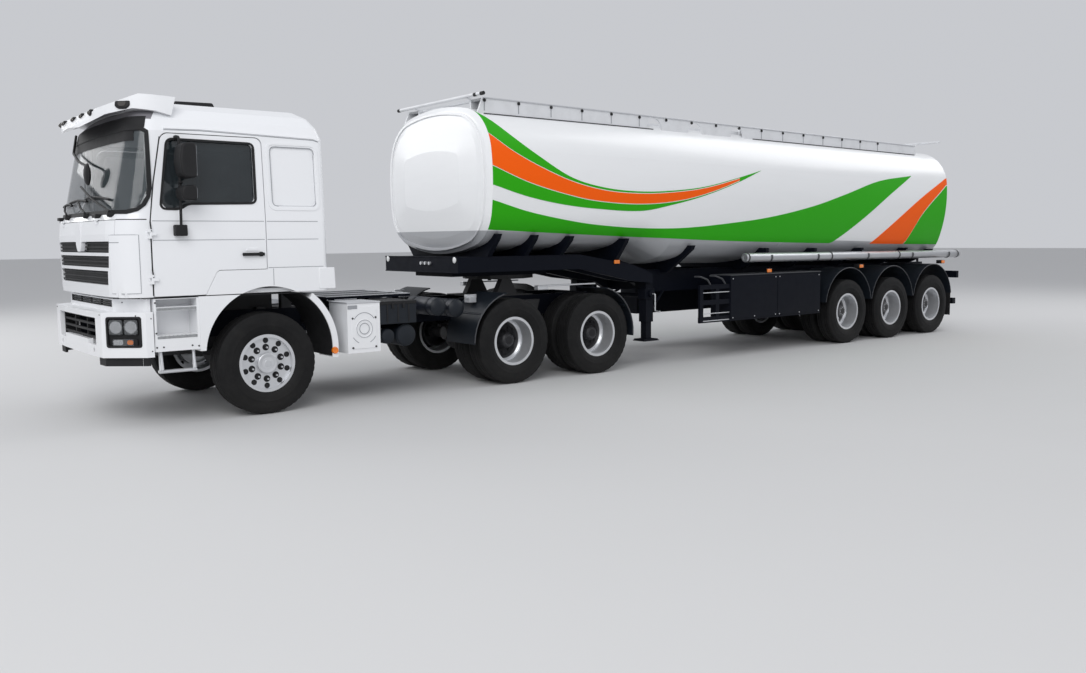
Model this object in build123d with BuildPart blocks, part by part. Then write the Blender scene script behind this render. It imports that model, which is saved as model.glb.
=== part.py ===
# Tanker truck: a cab-over tractor with three axles and a three-axle tank semi-trailer.
# Millimetres, +X forward, +Y to the truck's left, +Z up. The origin lies on the
# ground, under the middle of the whole length. Tractor stations are counted from
# the front axle and trailer stations from the kingpin, forwards positive.
import os
from math import cos, radians, sin

from build123d import *

os.makedirs("parts", exist_ok=True)

# Overall
overall_length = 15640.0        # bumper face to the end of the walkway rail
front_overhang = 1580.0         # bumper face ahead of the front axle
wheelbase = 3243.0              # front axle to first drive axle
tandem_spacing = 1400.0         # between the two drive axles
kingpin_lead = 240.0            # kingpin ahead of the middle of the tandem
trailer_axle_reach = 6572.0     # kingpin to first trailer axle
trailer_spacing = 1310.0        # between trailer axles

# Clearances
swing_gap = 8.0                 # round panels that swing
side_gap = 6.0                  # between flat faces that turn past each other
shaft_gap = 0.5                 # round a shaft or pin in its bore
seat_gap = 0.3                  # curved faces that only touch

axle_x = overall_length / 2 - front_overhang
drive_stations = [-wheelbase, -wheelbase - tandem_spacing]
tandem_centre = -wheelbase - tandem_spacing / 2
pin_x = axle_x + tandem_centre + kingpin_lead
trailer_stations = [-trailer_axle_reach - i * trailer_spacing for i in range(3)]

# Wheels
tyre_radius = 540.0
tyre_width = 296.0
bead_radius = 286.0
rim_width = 230.0
hand_hole = 24.0                # radius of the holes round the front rim's disc
rim_lip = 20.0                  # rim edge above the bead seat
rim_wall = 12.0
twin_spacing = 340.0            # between the two tyres of a twin wheel
front_track_half = 1077.0       # tyre centre from the middle of the truck
drive_track_half = 897.0        # middle of a twin wheel
trailer_track_half = 917.0
spindle_radius = 45.0
hub_radius = 110.0
drum_radius = 212.0
kingpost_y = 900.0              # steering pivot
kingpost_radius = 22.0

# Tractor chassis
rail_outer = 430.0
rail_flange = 80.0
rail_plate = 8.0
rail_bottom = 790.0
rail_top = 1060.0
rail_front = 1440.0
rail_rear = -5120.0
coupling_height = 1340.0        # top of the fifth wheel
kingpin_radius = 25.4
kingpin_length = 84.0

# Cab
cab_floor = 1286.0
cab_wall = 55.0
cab_half = 1220.0
cab_rear = -720.0
tilt_x = 1400.0
tilt_z = 950.0
tilt_pin_radius = 20.0
arm_inner = 436.0
arm_plate = 30.0
door_rear = -20.0
door_front = 1130.0
hinge_x = 1142.0
hinge_out = 20.0                # door hinge pins stand this far off the skin
hinge_pin = 6.0
hinge_barrel = 12.0
hinge_slot = 0.4                # between the barrels of one hinge
door_hinges = [1460, 1900]      # middles of the door hinges, upwards
flap_hinges = [-700, 700]       # middles of the flap hinges, across
flap_half = 1080.0
flap_back = 1395.0
flap_bottom = 1292.0
flap_top = 2034.0
flap_hinge_x = 1502.0
flap_hinge_z = 2046.0
arch_x = -40.0
arch_z = 660.0
arch_radius = 690.0

# Tank
tank_front = 787.0
tank_rear = -9567.0
tank_half = 1226.0
deck_half = 900.0
deck_bottom = 1405.0
deck_top = 1600.0
beam_inner = 400.0
beam_width = 90.0
beam_bottom = 1010.0


def block(base, x, y, z, mode=Mode.ADD):
    """Box between two stations along each axis; x counts from base."""
    with Locations((base + (x[0] + x[1]) / 2, (y[0] + y[1]) / 2, (z[0] + z[1]) / 2)):
        Box(x[1] - x[0], y[1] - y[0], z[1] - z[0], mode=mode)


def cross_rod(base, x, y, z, radius, mode=Mode.ADD):
    """Round bar along Y between two stations."""
    with Locations(Location((base + x, (y[0] + y[1]) / 2, z), (90, 0, 0))):
        Cylinder(radius, y[1] - y[0], mode=mode)


def long_rod(base, x, y, z, radius, mode=Mode.ADD):
    """Round bar along X between two stations."""
    with Locations(Location((base + (x[0] + x[1]) / 2, y, z), (0, 90, 0))):
        Cylinder(radius, x[1] - x[0], mode=mode)


def post(base, x, y, z, radius, mode=Mode.ADD):
    """Upright round bar between two heights."""
    with Locations((base + x, y, (z[0] + z[1]) / 2)):
        Cylinder(radius, z[1] - z[0], mode=mode)


def side_plate(base, points, y, mode=Mode.ADD):
    """Outline in the side view, as thick as the two stations across."""
    with BuildSketch(Plane.XZ.offset(-y[1])) as outline:
        with BuildLine():
            Polyline(*[(base + px, pz) for px, pz in points], close=True)
        make_face()
    extrude(to_extrude=outline.sketch, amount=y[1] - y[0], mode=mode)


def end_plate(base, points, x, mode=Mode.ADD):
    """Outline in the end view, as thick as the two stations along."""
    with BuildSketch(Plane.YZ.offset(base + x[0])) as outline:
        with BuildLine():
            Polyline(*points, close=True)
        make_face()
    extrude(to_extrude=outline.sketch, amount=x[1] - x[0], mode=mode)


def top_plate(base, points, z, mode=Mode.ADD):
    """Outline in the top view, as thick as the two heights."""
    with BuildSketch(Plane.XY.offset(z[0])) as outline:
        with BuildLine():
            Polyline(*[(base + px, py) for px, py in points], close=True)
        make_face()
    extrude(to_extrude=outline.sketch, amount=z[1] - z[0], mode=mode)


def arc_band(base, centre, radius, wall, angles, y, mode=Mode.ADD):
    """Curved guard: a band of a circle in the side view, stretched across."""
    first, last = angles
    middle = (first + last) / 2

    def at(r, angle):
        turn = radians(angle)
        return (base + centre[0] + r * cos(turn), centre[1] + r * sin(turn))

    with BuildSketch(Plane.XZ.offset(-y[1])) as outline:
        with BuildLine():
            ThreePointArc(at(radius, first), at(radius, middle), at(radius, last))
            Line(at(radius, last), at(radius + wall, last))
            ThreePointArc(at(radius + wall, last), at(radius + wall, middle), at(radius + wall, first))
            Line(at(radius + wall, first), at(radius, first))
        make_face()
    extrude(to_extrude=outline.sketch, amount=y[1] - y[0], mode=mode)


def finish(piece, name):
    """Label a finished piece and write it to its file."""
    piece.part.label = name
    export_step(piece.part, "parts/" + name + ".step")


# Wheels. Each profile is drawn as (distance from the axle line, place along it),
# in the plane through the axle line, and turned about it.
def turned(base, x, points, mode=Mode.ADD):
    """Solid of revolution about the axle line at station x, 540 above the ground."""
    with BuildSketch(Plane.YZ.offset(base + x)) as outline:
        with BuildLine():
            Polyline(*[(py, tyre_radius + pr) for pr, py in points], close=True)
        make_face()
    axis = Axis((base + x, 0, tyre_radius), (0, 1, 0))
    revolve(profiles=outline.sketch, axis=axis, revolution_arc=360, mode=mode)


def tyre_profile(middle):
    """Half section of a tyre whose middle lies at this station across."""
    half = tyre_width / 2
    seat = bead_radius + seat_gap
    foot = rim_width / 2 - rim_wall - seat_gap
    points = [
        (seat, foot),
        (bead_radius + rim_lip + seat_gap, foot),
        (bead_radius + rim_lip + 8, half - 26),
        (bead_radius + 96, half),
        (tyre_radius - 80, half - 8),
        (tyre_radius - 8, half - 26),
        (tyre_radius, half - 70),
    ]
    mirrored = [(pr, -py) for pr, py in reversed(points)]
    return [(pr, middle + py) for pr, py in points + mirrored]


def make_tyres(base, x, middles):
    with BuildPart() as tyres:
        for middle in middles:
            turned(base, x, tyre_profile(middle))
    return tyres


def barrel(base, x, middle):
    """Rim barrel: a drum between two upturned lips."""
    half = rim_width / 2
    lip = bead_radius + rim_lip
    inner = bead_radius - rim_wall
    points = [
        (inner, -half),
        (lip, -half),
        (lip, -half + rim_wall),
        (bead_radius, -half + rim_wall),
        (bead_radius, half - rim_wall),
        (lip, half - rim_wall),
        (lip, half),
        (inner, half),
    ]
    turned(base, x, [(pr, middle + py) for pr, py in points])


def make_front_rim(side):
    """Single front rim with its dished disc, hub and brake drum; side is 1 or -1."""
    middle = side * front_track_half
    face = rim_width / 2
    with BuildPart() as rim:
        barrel(axle_x, 0, middle)
        disc = [(95, 58), (95, 74), (205, 74), (280, face - 40), (280, face - 62), (215, 58)]
        turned(axle_x, 0, [(pr, middle + side * py) for pr, py in disc])
        hub = [
            (0, 20),
            (0, 128),
            (60, 128),
            (92, 118),
            (hub_radius, 74),
            (hub_radius, 20),
            (drum_radius, 20),
            (drum_radius, -70),
            (drum_radius - 14, -70),
            (drum_radius - 14, 6),
            (80, 6),
            (80, -60),
            (spindle_radius + shaft_gap, -60),
            (spindle_radius + shaft_gap, 20),
        ]
        turned(axle_x, 0, [(pr, middle + side * py) for pr, py in hub])
        for turn in range(10):
            angle = radians(36 * turn + 18)
            hole_x = 248 * cos(angle)
            hole_z = tyre_radius + 248 * sin(angle)
            span = sorted((middle + side * 20, middle + side * 120))
            cross_rod(axle_x, hole_x, span, hole_z, hand_hole, mode=Mode.SUBTRACT)
    return rim


def make_twin_rims(base, x, middle, side, nose):
    """Two rims, their meeting discs, the hub and the brake drum of a twin wheel."""
    half = rim_width / 2
    offset = twin_spacing / 2
    with BuildPart() as rims:
        barrel(base, x, middle + offset)
        barrel(base, x, middle - offset)
        disc = [
            (100, 0),
            (100, 14),
            (205, 14),
            (262, offset - half + 14),
            (280, offset - half + 14),
            (280, offset - half),
            (250, offset - half),
            (205, 0),
        ]
        turned(base, x, [(pr, middle + py) for pr, py in disc])
        turned(base, x, [(pr, middle - py) for pr, py in disc])
        hub = [
            (0, 100),
            (0, nose),
            (70, nose),
            (88, nose - 16),
            (hub_radius, 60),
            (hub_radius + 20, 14),
            (hub_radius + 20, -14),
            (drum_radius, -14),
            (drum_radius, -236),
            (drum_radius - 14, -236),
            (drum_radius - 14, -30),
            (80, -30),
            (80, -150),
            (spindle_radius + shaft_gap, -150),
            (spindle_radius + shaft_gap, 100),
        ]
        turned(base, x, [(pr, middle + side * py) for pr, py in hub])
    return rims


for side_name, side in (("left", 1), ("right", -1)):
    tyre = make_tyres(axle_x, 0, [side * front_track_half])
    finish(tyre, "front_tyre_" + side_name)
    finish(make_front_rim(side), "front_rim_" + side_name)

for number, station in enumerate(drive_stations, start=1):
    for side_name, side in (("left", 1), ("right", -1)):
        middle = side * drive_track_half
        pair = [middle - twin_spacing / 2, middle + twin_spacing / 2]
        finish(make_tyres(axle_x, station, pair), "drive_tyres_%d_%s" % (number, side_name))
        rims = make_twin_rims(axle_x, station, middle, side, 165)
        finish(rims, "drive_rims_%d_%s" % (number, side_name))

for number, station in enumerate(trailer_stations, start=1):
    for side_name, side in (("left", 1), ("right", -1)):
        middle = side * trailer_track_half
        pair = [middle - twin_spacing / 2, middle + twin_spacing / 2]
        finish(make_tyres(pin_x, station, pair), "trailer_tyres_%d_%s" % (number, side_name))
        rims = make_twin_rims(pin_x, station, middle, side, 190)
        finish(rims, "trailer_rims_%d_%s" % (number, side_name))


def beam_axle(base, x, tube_radius, middle):
    """Straight axle tube with a spindle at each end."""
    tube_end = middle - 250
    cross_rod(base, x, (-tube_end, tube_end), tyre_radius, tube_radius)
    for side in (-1, 1):
        reach = sorted((side * (tube_end - 10), side * (middle + 100 - shaft_gap)))
        cross_rod(base, x, reach, tyre_radius, spindle_radius)


# Axles. The front beam drops in the middle and carries the knuckles at its eyes.
with BuildPart() as tractor_axles:
    beam = [
        (-820, 500),
        (-640, 470),
        (-520, 400),
        (520, 400),
        (640, 470),
        (820, 500),
        (820, 590),
        (640, 565),
        (500, 500),
        (-500, 500),
        (-640, 565),
        (-820, 590),
    ]
    end_plate(axle_x, beam, (-50, 50))
    for side in (-1, 1):
        block(axle_x, (-55, 55), sorted((side * 800, side * kingpost_y)), (485, 600))
        post(axle_x, 0, side * kingpost_y, (485, 600), 48)
        post(axle_x, 0, side * kingpost_y, (480, 605), kingpost_radius + shaft_gap, mode=Mode.SUBTRACT)
        block(axle_x, (-60, 60), sorted((side * 345, side * 435)), (500, 560))
    for station in drive_stations:
        beam_axle(axle_x, station, 75, drive_track_half)
        cross_rod(axle_x, station, (-130, 130), tyre_radius, 205)
        long_rod(axle_x, (station, station + 300), 0, tyre_radius + 40, 85)
finish(tractor_axles, "tractor_axles")


def make_knuckle(side):
    """Fork, steering pivot pin and stub axle of one front wheel."""
    out = side * (kingpost_y + 62)
    with BuildPart() as knuckle:
        for z in ((430, 485 - shaft_gap), (600 + shaft_gap, 655)):
            post(axle_x, 0, side * kingpost_y, z, 52)
            block(axle_x, (-50, 50), sorted((side * kingpost_y, out)), z)
        post(axle_x, 0, side * kingpost_y, (430, 655), kingpost_radius)
        web = sorted((side * (kingpost_y + 55 + side_gap - 3), side * (kingpost_y + 78)))
        block(axle_x, (-60, 60), web, (430, 655))
        reach = sorted((side * (kingpost_y + 70), side * (front_track_half + 20 - shaft_gap)))
        cross_rod(axle_x, 0, reach, tyre_radius, spindle_radius)
        lever = [(0, side * 900), (0, side * 955), (-300, side * 860), (-300, side * 820)]
        top_plate(axle_x, lever, (440, 470))
    return knuckle


finish(make_knuckle(1), "knuckle_left")
finish(make_knuckle(-1), "knuckle_right")


def leaf_spring(base, x, y, eye_z, mid_z, thickness, reach):
    """Arched leaf pack with its lower face at mid_z in the middle."""
    with BuildSketch(Plane.XZ.offset(-y[1])) as outline:
        with BuildLine():
            ends = [(base + x - reach, eye_z), (base + x + reach, eye_z)]
            ThreePointArc(ends[0], (base + x, mid_z), ends[1])
            Line(ends[1], (ends[1][0], eye_z + thickness * 0.5))
            upper = mid_z + thickness
            ThreePointArc(
                (ends[1][0], eye_z + thickness * 0.5),
                (base + x, upper),
                (ends[0][0], eye_z + thickness * 0.5),
            )
            Line((ends[0][0], eye_z + thickness * 0.5), ends[0])
        make_face()
    extrude(to_extrude=outline.sketch, amount=y[1] - y[0])


with BuildPart() as tractor_springs:
    for side in (-1, 1):
        across = sorted((side * 345, side * 435))
        leaf_spring(axle_x, 0, across, 700, 560, 70, 760)
        for end in (-1, 1):
            block(axle_x, sorted((end * 720, end * 790)), across, (690, rail_bottom))
        across = sorted((side * 445, side * 545))
        saddle = tyre_radius + 75 + seat_gap
        outline = [
            (drive_stations[0] + 60, saddle),
            (drive_stations[0] + 60, saddle + 45),
            (tandem_centre + 150, 770),
            (tandem_centre - 150, 770),
            (drive_stations[1] - 60, saddle + 45),
            (drive_stations[1] - 60, saddle),
            (drive_stations[1] + 200, saddle),
            (tandem_centre - 200, 690),
            (tandem_centre + 200, 690),
            (drive_stations[0] - 200, saddle),
        ]
        side_plate(axle_x, outline, across)
        bracket = [
            (tandem_centre - 160, 770),
            (tandem_centre + 160, 770),
            (tandem_centre + 230, rail_top - 60),
            (tandem_centre - 230, rail_top - 60),
        ]
        side_plate(axle_x, bracket, sorted((side * rail_outer, side * 520)))
finish(tractor_springs, "tractor_springs")


# Chassis of the tractor
with BuildPart() as tractor_frame:
    for side in (-1, 1):
        section = [
            (side * rail_outer, rail_bottom),
            (side * rail_outer, rail_top),
            (side * (rail_outer - rail_flange), rail_top),
            (side * (rail_outer - rail_flange), rail_top - rail_plate),
            (side * (rail_outer - rail_plate), rail_top - rail_plate),
            (side * (rail_outer - rail_plate), rail_bottom + rail_plate),
            (side * (rail_outer - rail_flange), rail_bottom + rail_plate),
            (side * (rail_outer - rail_flange), rail_bottom),
        ]
        end_plate(axle_x, section, (rail_rear, rail_front))
        pin_span = sorted((side * (rail_outer - 4), side * (arm_inner + arm_plate + 12)))
        cross_rod(axle_x, tilt_x, pin_span, tilt_z, tilt_pin_radius)
    web = rail_outer - rail_plate / 2
    for station in (1150, -880, -1950, -2850, tandem_centre, -5060):
        block(axle_x, (station - 55, station + 55), (-web, web), (850, 1010))
    block(axle_x, (rail_rear - 30, rail_rear), (-rail_outer, rail_outer), (rail_bottom, rail_top))
    block(axle_x, (-2080, -960), (-560, 620), (1140, 1165))
    for station in (-1040, -1520, -2000):
        for side in (-1, 1):
            block(axle_x, (station - 25, station + 25), sorted((side * 350, side * rail_outer)), (rail_top, 1140))
finish(tractor_frame, "tractor_frame")

with BuildPart() as engine_block:
    block(axle_x, (-430, 850), (-325, 325), (610, 1262))
    block(axle_x, (-800, -430), (-210, 210), (640, 1060))
    for station in (620, -260):
        for side in (-1, 1):
            block(axle_x, (station - 50, station + 50), sorted((side * 325, side * 425)), (rail_top, 1085))
finish(engine_block, "engine_block")

# Front end below the cab
bumper_wall = 45.0
bumper_bottom = 700.0
bumper_top = 1145.0
shelf = 20.0
valance_wall = 30.0
valance_top = 1268.0
vent = (1188, 1258)
vent_half = 820.0
under_bumper = 615.0             # lower edge of the shields under the bumper's corners
bumper_plan = [(front_overhang, 450), (1562, 930), (1225, 1220), (1155, 1220)]
valance_plan = [(1432, 450), (1424, 860), (1190, 1150), (1155, 1150)]
lamp_middle = (1393.5, 1075.0, 950.0)
lamp_along = (-337.0, 290.0, 0.0)
lamp_size = (356.0, 304.0)


def plan_face(base, plan, z, inset):
    """Face inside a plan outline given for one side, drawn in by an inset."""
    points = plan + [(px, -py) for px, py in reversed(plan)]
    with BuildSketch(Plane.XY.offset(z)) as outline:
        with BuildLine():
            Polyline(*[(base + px, py) for px, py in points], close=True)
        make_face()
        if inset > 0:
            offset(amount=-inset, kind=Kind.INTERSECTION, mode=Mode.REPLACE)
    return outline.sketch


def lamp_plane(side, depth):
    """Plane of the slanted lamp face of one side, moved in by a depth."""
    along = (lamp_along[0], side * lamp_along[1], 0)
    out = (lamp_along[1], side * -lamp_along[0], 0)
    origin = (axle_x + lamp_middle[0], side * lamp_middle[1], lamp_middle[2])
    return Plane(origin=origin, x_dir=along, z_dir=out).offset(-depth)


with BuildPart() as front_bumper:
    extrude(to_extrude=plan_face(axle_x, bumper_plan, bumper_bottom, 0), amount=bumper_top - bumper_bottom)
    pocket = plan_face(axle_x, bumper_plan, bumper_bottom - 1, bumper_wall)
    extrude(to_extrude=pocket, amount=bumper_top - shelf - bumper_bottom + 1, mode=Mode.SUBTRACT)
    extrude(to_extrude=plan_face(axle_x, valance_plan, bumper_top, 0), amount=valance_top - bumper_top)
    well = plan_face(axle_x, valance_plan, bumper_top - shelf - 1, valance_wall)
    extrude(to_extrude=well, amount=valance_top - bumper_top + shelf + 2, mode=Mode.SUBTRACT)
    back = cab_half - bumper_wall
    block(axle_x, (1100, 1230), (-back, back), (bumper_bottom - 1, bumper_top - shelf), mode=Mode.SUBTRACT)
    inner_back = 1150 - valance_wall
    block(axle_x, (1100, 1190), (-inner_back, inner_back), (bumper_bottom, valance_top + 1), mode=Mode.SUBTRACT)
    block(axle_x, (1500, 1600), (-740, 740), (860, 1085), mode=Mode.SUBTRACT)
    block(axle_x, (1380, 1450), (-vent_half, vent_half), vent, mode=Mode.SUBTRACT)
    for side in (-1, 1):
        block(axle_x, (1500, 1600), sorted((side * 480, side * 740)), (815, 865), mode=Mode.SUBTRACT)
        long_rod(axle_x, (1500, 1600), side * 660, 760, 24, mode=Mode.SUBTRACT)
        with BuildSketch(lamp_plane(side, 90)) as lamp_hole:
            RectangleRounded(*lamp_size, 24)
        extrude(to_extrude=lamp_hole.sketch, amount=140, mode=Mode.SUBTRACT)
        mount = (rail_front, front_overhang - bumper_wall)
        block(axle_x, mount, sorted((side * 350, side * rail_outer)), (rail_bottom, 850))
finish(front_bumper, "front_bumper")


def slatted(base, x, y, z, bars, posts, rim):
    """Open grille panel: a rim with level bars and upright posts."""
    block(base, x, y, z)
    openings_z = [z[0] + rim + (z[1] - z[0] - rim) * i / bars for i in range(bars)]
    height = (z[1] - z[0] - rim) / bars - rim
    width = (y[1] - y[0] - rim) / posts - rim
    for low in openings_z:
        for i in range(posts):
            left = y[0] + rim + (width + rim) * i
            block(base, (x[0] - 1, x[1] + 1), (left, left + width), (low, low + height), mode=Mode.SUBTRACT)


with BuildPart() as bumper_grilles:
    slatted(axle_x, (1500, 1525), (-740 + seat_gap, 740 - seat_gap), (860 + seat_gap, 1085 - seat_gap), 3, 3, 22)
    slatted(axle_x, (1404, 1422), (seat_gap - vent_half, vent_half - seat_gap), (vent[0] + seat_gap, vent[1] - seat_gap), 3, 4, 9)
    extrude(to_extrude=plan_face(axle_x, bumper_plan, under_bumper, 30), amount=bumper_bottom - under_bumper)
    hollow = plan_face(axle_x, bumper_plan, under_bumper - 1, 55)
    extrude(to_extrude=hollow, amount=bumper_bottom - under_bumper + 2, mode=Mode.SUBTRACT)
    block(axle_x, (1100, 1250), (-1160, 1160), (under_bumper - 1, bumper_bottom + 1), mode=Mode.SUBTRACT)
    block(axle_x, (1100, 1600), (-720, 720), (under_bumper - 1, bumper_bottom + 1), mode=Mode.SUBTRACT)
finish(bumper_grilles, "bumper_grilles")

with BuildPart() as headlamps:
    for side in (-1, 1):
        with BuildSketch(lamp_plane(side, 75)) as lamp_box:
            RectangleRounded(lamp_size[0] - 2 * seat_gap, lamp_size[1] - 2 * seat_gap, 24)
        extrude(to_extrude=lamp_box.sketch, amount=55)
        bezel = lamp_plane(side, 21)
        for across, up, wide, high in ((-75, 45, 125, 150), (75, 45, 125, 150), (20, -100, 220, 70)):
            with BuildSketch(bezel) as lens:
                with Locations((across, up)):
                    RectangleRounded(wide, high, 18)
            extrude(to_extrude=lens.sketch, amount=17)
finish(headlamps, "headlamps")

# Steps and fenders
step_front = 1140.0
step_rear = 700.0
step_inner = 860.0
step_outer = 1200.0
fender_top = 1276.0
with BuildPart() as steps_fenders:
    for side in (-1, 1):
        depth = sorted((side * step_inner, side * step_outer))
        block(axle_x, (step_rear, step_front), depth, (747, 1268))
        for low, high, back in ((905, 1150, 960), (1185, 1262, 1000)):
            across = sorted((side * back, side * (step_outer + 1)))
            block(axle_x, (step_rear + 22, step_front - 22), across, (low, high), mode=Mode.SUBTRACT)
        block(axle_x, (860, 960), sorted((side * rail_outer, side * step_inner)), (850, 925))
        for station in (755, 1085):
            post(axle_x, station, side * 1150, (545, 748), 14)
        block(axle_x, (741, 1099), sorted((side * 1110, side * 1190)), (530, 555))
        depth = sorted((side * 880, side * 1215))
        leg = [(step_rear, fender_top), (step_rear, 725), (430, 725), (250, fender_top)]
        side_plate(axle_x, leg, depth)
        long_cut = sorted((side * 870, side * 1225))
        cross_rod(axle_x, arch_x, long_cut, arch_z, arch_radius, mode=Mode.SUBTRACT)
        arc_band(axle_x, (arch_x, arch_z), 702, 68, (129, 189), depth)
        block(axle_x, (-800, -735), sorted((side * rail_outer, side * 900)), (880, 950))
finish(steps_fenders, "steps_fenders")

# Boxes, tanks and deck behind the cab
with BuildPart() as toolbox:
    block(axle_x, (-1336, -930), (760, 1205), (565, 1130))
    block(axle_x, (-1300, -1240), (rail_outer, 760), (860, 960))
    block(axle_x, (-1030, -970), (rail_outer, 760), (860, 960))
finish(toolbox, "toolbox")

with BuildPart() as battery_box:
    block(axle_x, (-1820, -1340), (640, 1190), (864, 1118))
    block(axle_x, (-1620, -1560), (rail_outer, 640), (880, 980))
    for station, radius in ((-1460, 86), (-1700, 128)):
        cross_rod(axle_x, station, (700, 1150), 720, radius)
        block(axle_x, (station - 20, station + 20), (800, 860), (720, 866))
finish(battery_box, "battery_box")

with BuildPart() as tractor_tanks:
    with BuildSketch(Plane.YZ.offset(axle_x - 2020)) as tank_end:
        with Locations((-875, 790)):
            RectangleRounded(650, 600, 110)
    extrude(to_extrude=tank_end.sketch, amount=1090)
    for station in (-1820, -1110):
        block(axle_x, (station - 35, station + 35), (-560, -rail_outer), (800, 940))
    for station, height in ((-2195, 1020), (-2450, 990)):
        cross_rod(axle_x, station, (rail_outer + 60, 1080), height, 108)
        block(axle_x, (station - 25, station + 25), (rail_outer, rail_outer + 80), (900, 1000))
        cross_rod(axle_x, station, (-1080, -rail_outer - 60), height, 108)
        block(axle_x, (station - 25, station + 25), (-rail_outer - 80, -rail_outer), (900, 1000))
finish(tractor_tanks, "tractor_tanks")

# Fifth wheel: a greased top plate with a throat, on a pedestal across the rails
plate_under = coupling_height - 55
with BuildPart() as fifth_wheel:
    kx = tandem_centre + kingpin_lead
    horseshoe = [
        (kx + 300, -150),
        (kx + 300, 150),
        (kx + 220, 330),
        (kx, 445),
        (kx - 260, 430),
        (kx - 560, 250),
        (kx - 560, 170),
        (kx - 120, 28),
        (kx - 120, -28),
        (kx - 560, -170),
        (kx - 560, -250),
        (kx - 260, -430),
        (kx, -445),
        (kx + 220, -330),
    ]
    top_plate(axle_x, horseshoe, (plate_under, coupling_height))
    throat = kingpin_radius + shaft_gap
    block(axle_x, (kx - 130, kx), (-throat, throat), (plate_under - 1, coupling_height + 1), mode=Mode.SUBTRACT)
    post(axle_x, kx, 0, (plate_under - 1, coupling_height + 1), throat, mode=Mode.SUBTRACT)
    block(axle_x, (kx - 116, kx - 70), (-140, 140), (plate_under - 20, plate_under))
    for side in (-1, 1):
        pedestal = [(kx - 190, rail_top), (kx + 190, rail_top), (kx + 70, plate_under), (kx - 70, plate_under)]
        side_plate(axle_x, pedestal, sorted((side * 300, side * 400)))
    block(axle_x, (kx - 420, kx + 420), (-rail_outer, rail_outer), (rail_top, rail_top + 16))
finish(fifth_wheel, "fifth_wheel")

with BuildPart() as tandem_guards:
    for side in (-1, 1):
        across = sorted((side * 590, side * 1215))
        arc_band(axle_x, (drive_stations[0], tyre_radius), 615, 14, (0, 78), across)
        arc_band(axle_x, (drive_stations[1], tyre_radius), 615, 14, (102, 186), across)
        for station, height in ((drive_stations[0] + 500, 900), (drive_stations[1] - 500, 900)):
            cross_rod(axle_x, station, sorted((side * rail_outer, side * 1180)), height, 20)
finish(tandem_guards, "tandem_guards")

# Cab. Its skin is drawn through level sections. Each row gives the height, the
# station of the front in the middle, the station and place across where the
# front ends and the corner starts, the station where the corner meets the side,
# the half width and the rear station.
cab_rows = [
    (cab_floor, 1497, 1478, 950, 1150, cab_half, cab_rear),
    (1900, 1510, 1488, 950, 1150, cab_half + 2, cab_rear),
    (2036, 1500, 1476, 950, 1145, cab_half, cab_rear),
    (2100, 1462, 1432, 950, 1130, 1216, cab_rear),
    (2900, 1310, 1262, 940, 1040, 1168, cab_rear),
    (3020, 1285, 1235, 900, 1000, 1118, cab_rear + 30),
    (3130, 1180, 1130, 800, 900, 1008, cab_rear + 85),
    (3204, 900, 850, 640, 730, 850, cab_rear + 170),
]
roof_break = 2950.0             # above this height the roof curves in
corner_bulge = 0.70
rear_round = 70.0


def cab_section(row, inset):
    """Level outline of the cab at one row of the table, drawn in by an inset."""
    height, nose, brow, brow_y, pillar, half, rear = row
    if height > roof_break:
        height = height - inset
    nose = axle_x + nose - inset
    brow = axle_x + brow - inset
    brow_y = brow_y - inset * 0.6
    pillar = axle_x + pillar - inset * 0.6
    half = half - inset
    rear = axle_x + rear + inset
    round_r = max(rear_round - inset, 15)
    corner_x = pillar + corner_bulge * (brow - pillar)
    corner_y = brow_y + corner_bulge * (half - brow_y)
    with BuildSketch(Plane.XY.offset(height)) as outline:
        with BuildLine():
            ThreePointArc((brow, -brow_y), (nose, 0), (brow, brow_y))
            ThreePointArc((brow, brow_y), (corner_x, corner_y), (pillar, half))
            Line((pillar, half), (rear + round_r, half))
            bend = round_r * (1 - cos(radians(45)))
            ThreePointArc((rear + round_r, half), (rear + bend, half - bend), (rear, half - round_r))
            Line((rear, half - round_r), (rear, round_r - half))
            ThreePointArc((rear, round_r - half), (rear + bend, bend - half), (rear + round_r, -half))
            Line((rear + round_r, -half), (pillar, -half))
            ThreePointArc((pillar, -half), (corner_x, -corner_y), (brow, -brow_y))
        make_face()
    return outline.sketch


def cab_body(inset):
    """Closed body of the cab, drawn in by an inset all round."""
    with BuildPart() as body:
        for row in zip(cab_rows[:-1], cab_rows[1:]):
            loft(sections=[cab_section(row[0], inset).face(), cab_section(row[1], inset).face()], ruled=True)
    return body


def rounded_side(base, points, radii, y, mode=Mode.ADD):
    """Side-view outline with rounded corners, as thick as two stations across."""
    with BuildSketch(Plane.XZ.offset(-y[1])) as outline:
        with BuildLine():
            FilletPolyline(*[(base + px, pz) for px, pz in points], radius=radii, close=True)
        make_face()
    extrude(to_extrude=outline.sketch, amount=y[1] - y[0], mode=mode)


def grown(points, gap):
    """Outline moved out from its own middle by about a gap."""
    xs = [px for px, pz in points]
    zs = [pz for px, pz in points]
    mid_x = (min(xs) + max(xs)) / 2
    mid_z = (min(zs) + max(zs)) / 2
    wide = 1 + 2 * gap / (max(xs) - min(xs))
    tall = 1 + 2 * gap / (max(zs) - min(zs))
    return [(mid_x + (px - mid_x) * wide, mid_z + (pz - mid_z) * tall) for px, pz in points]


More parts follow.
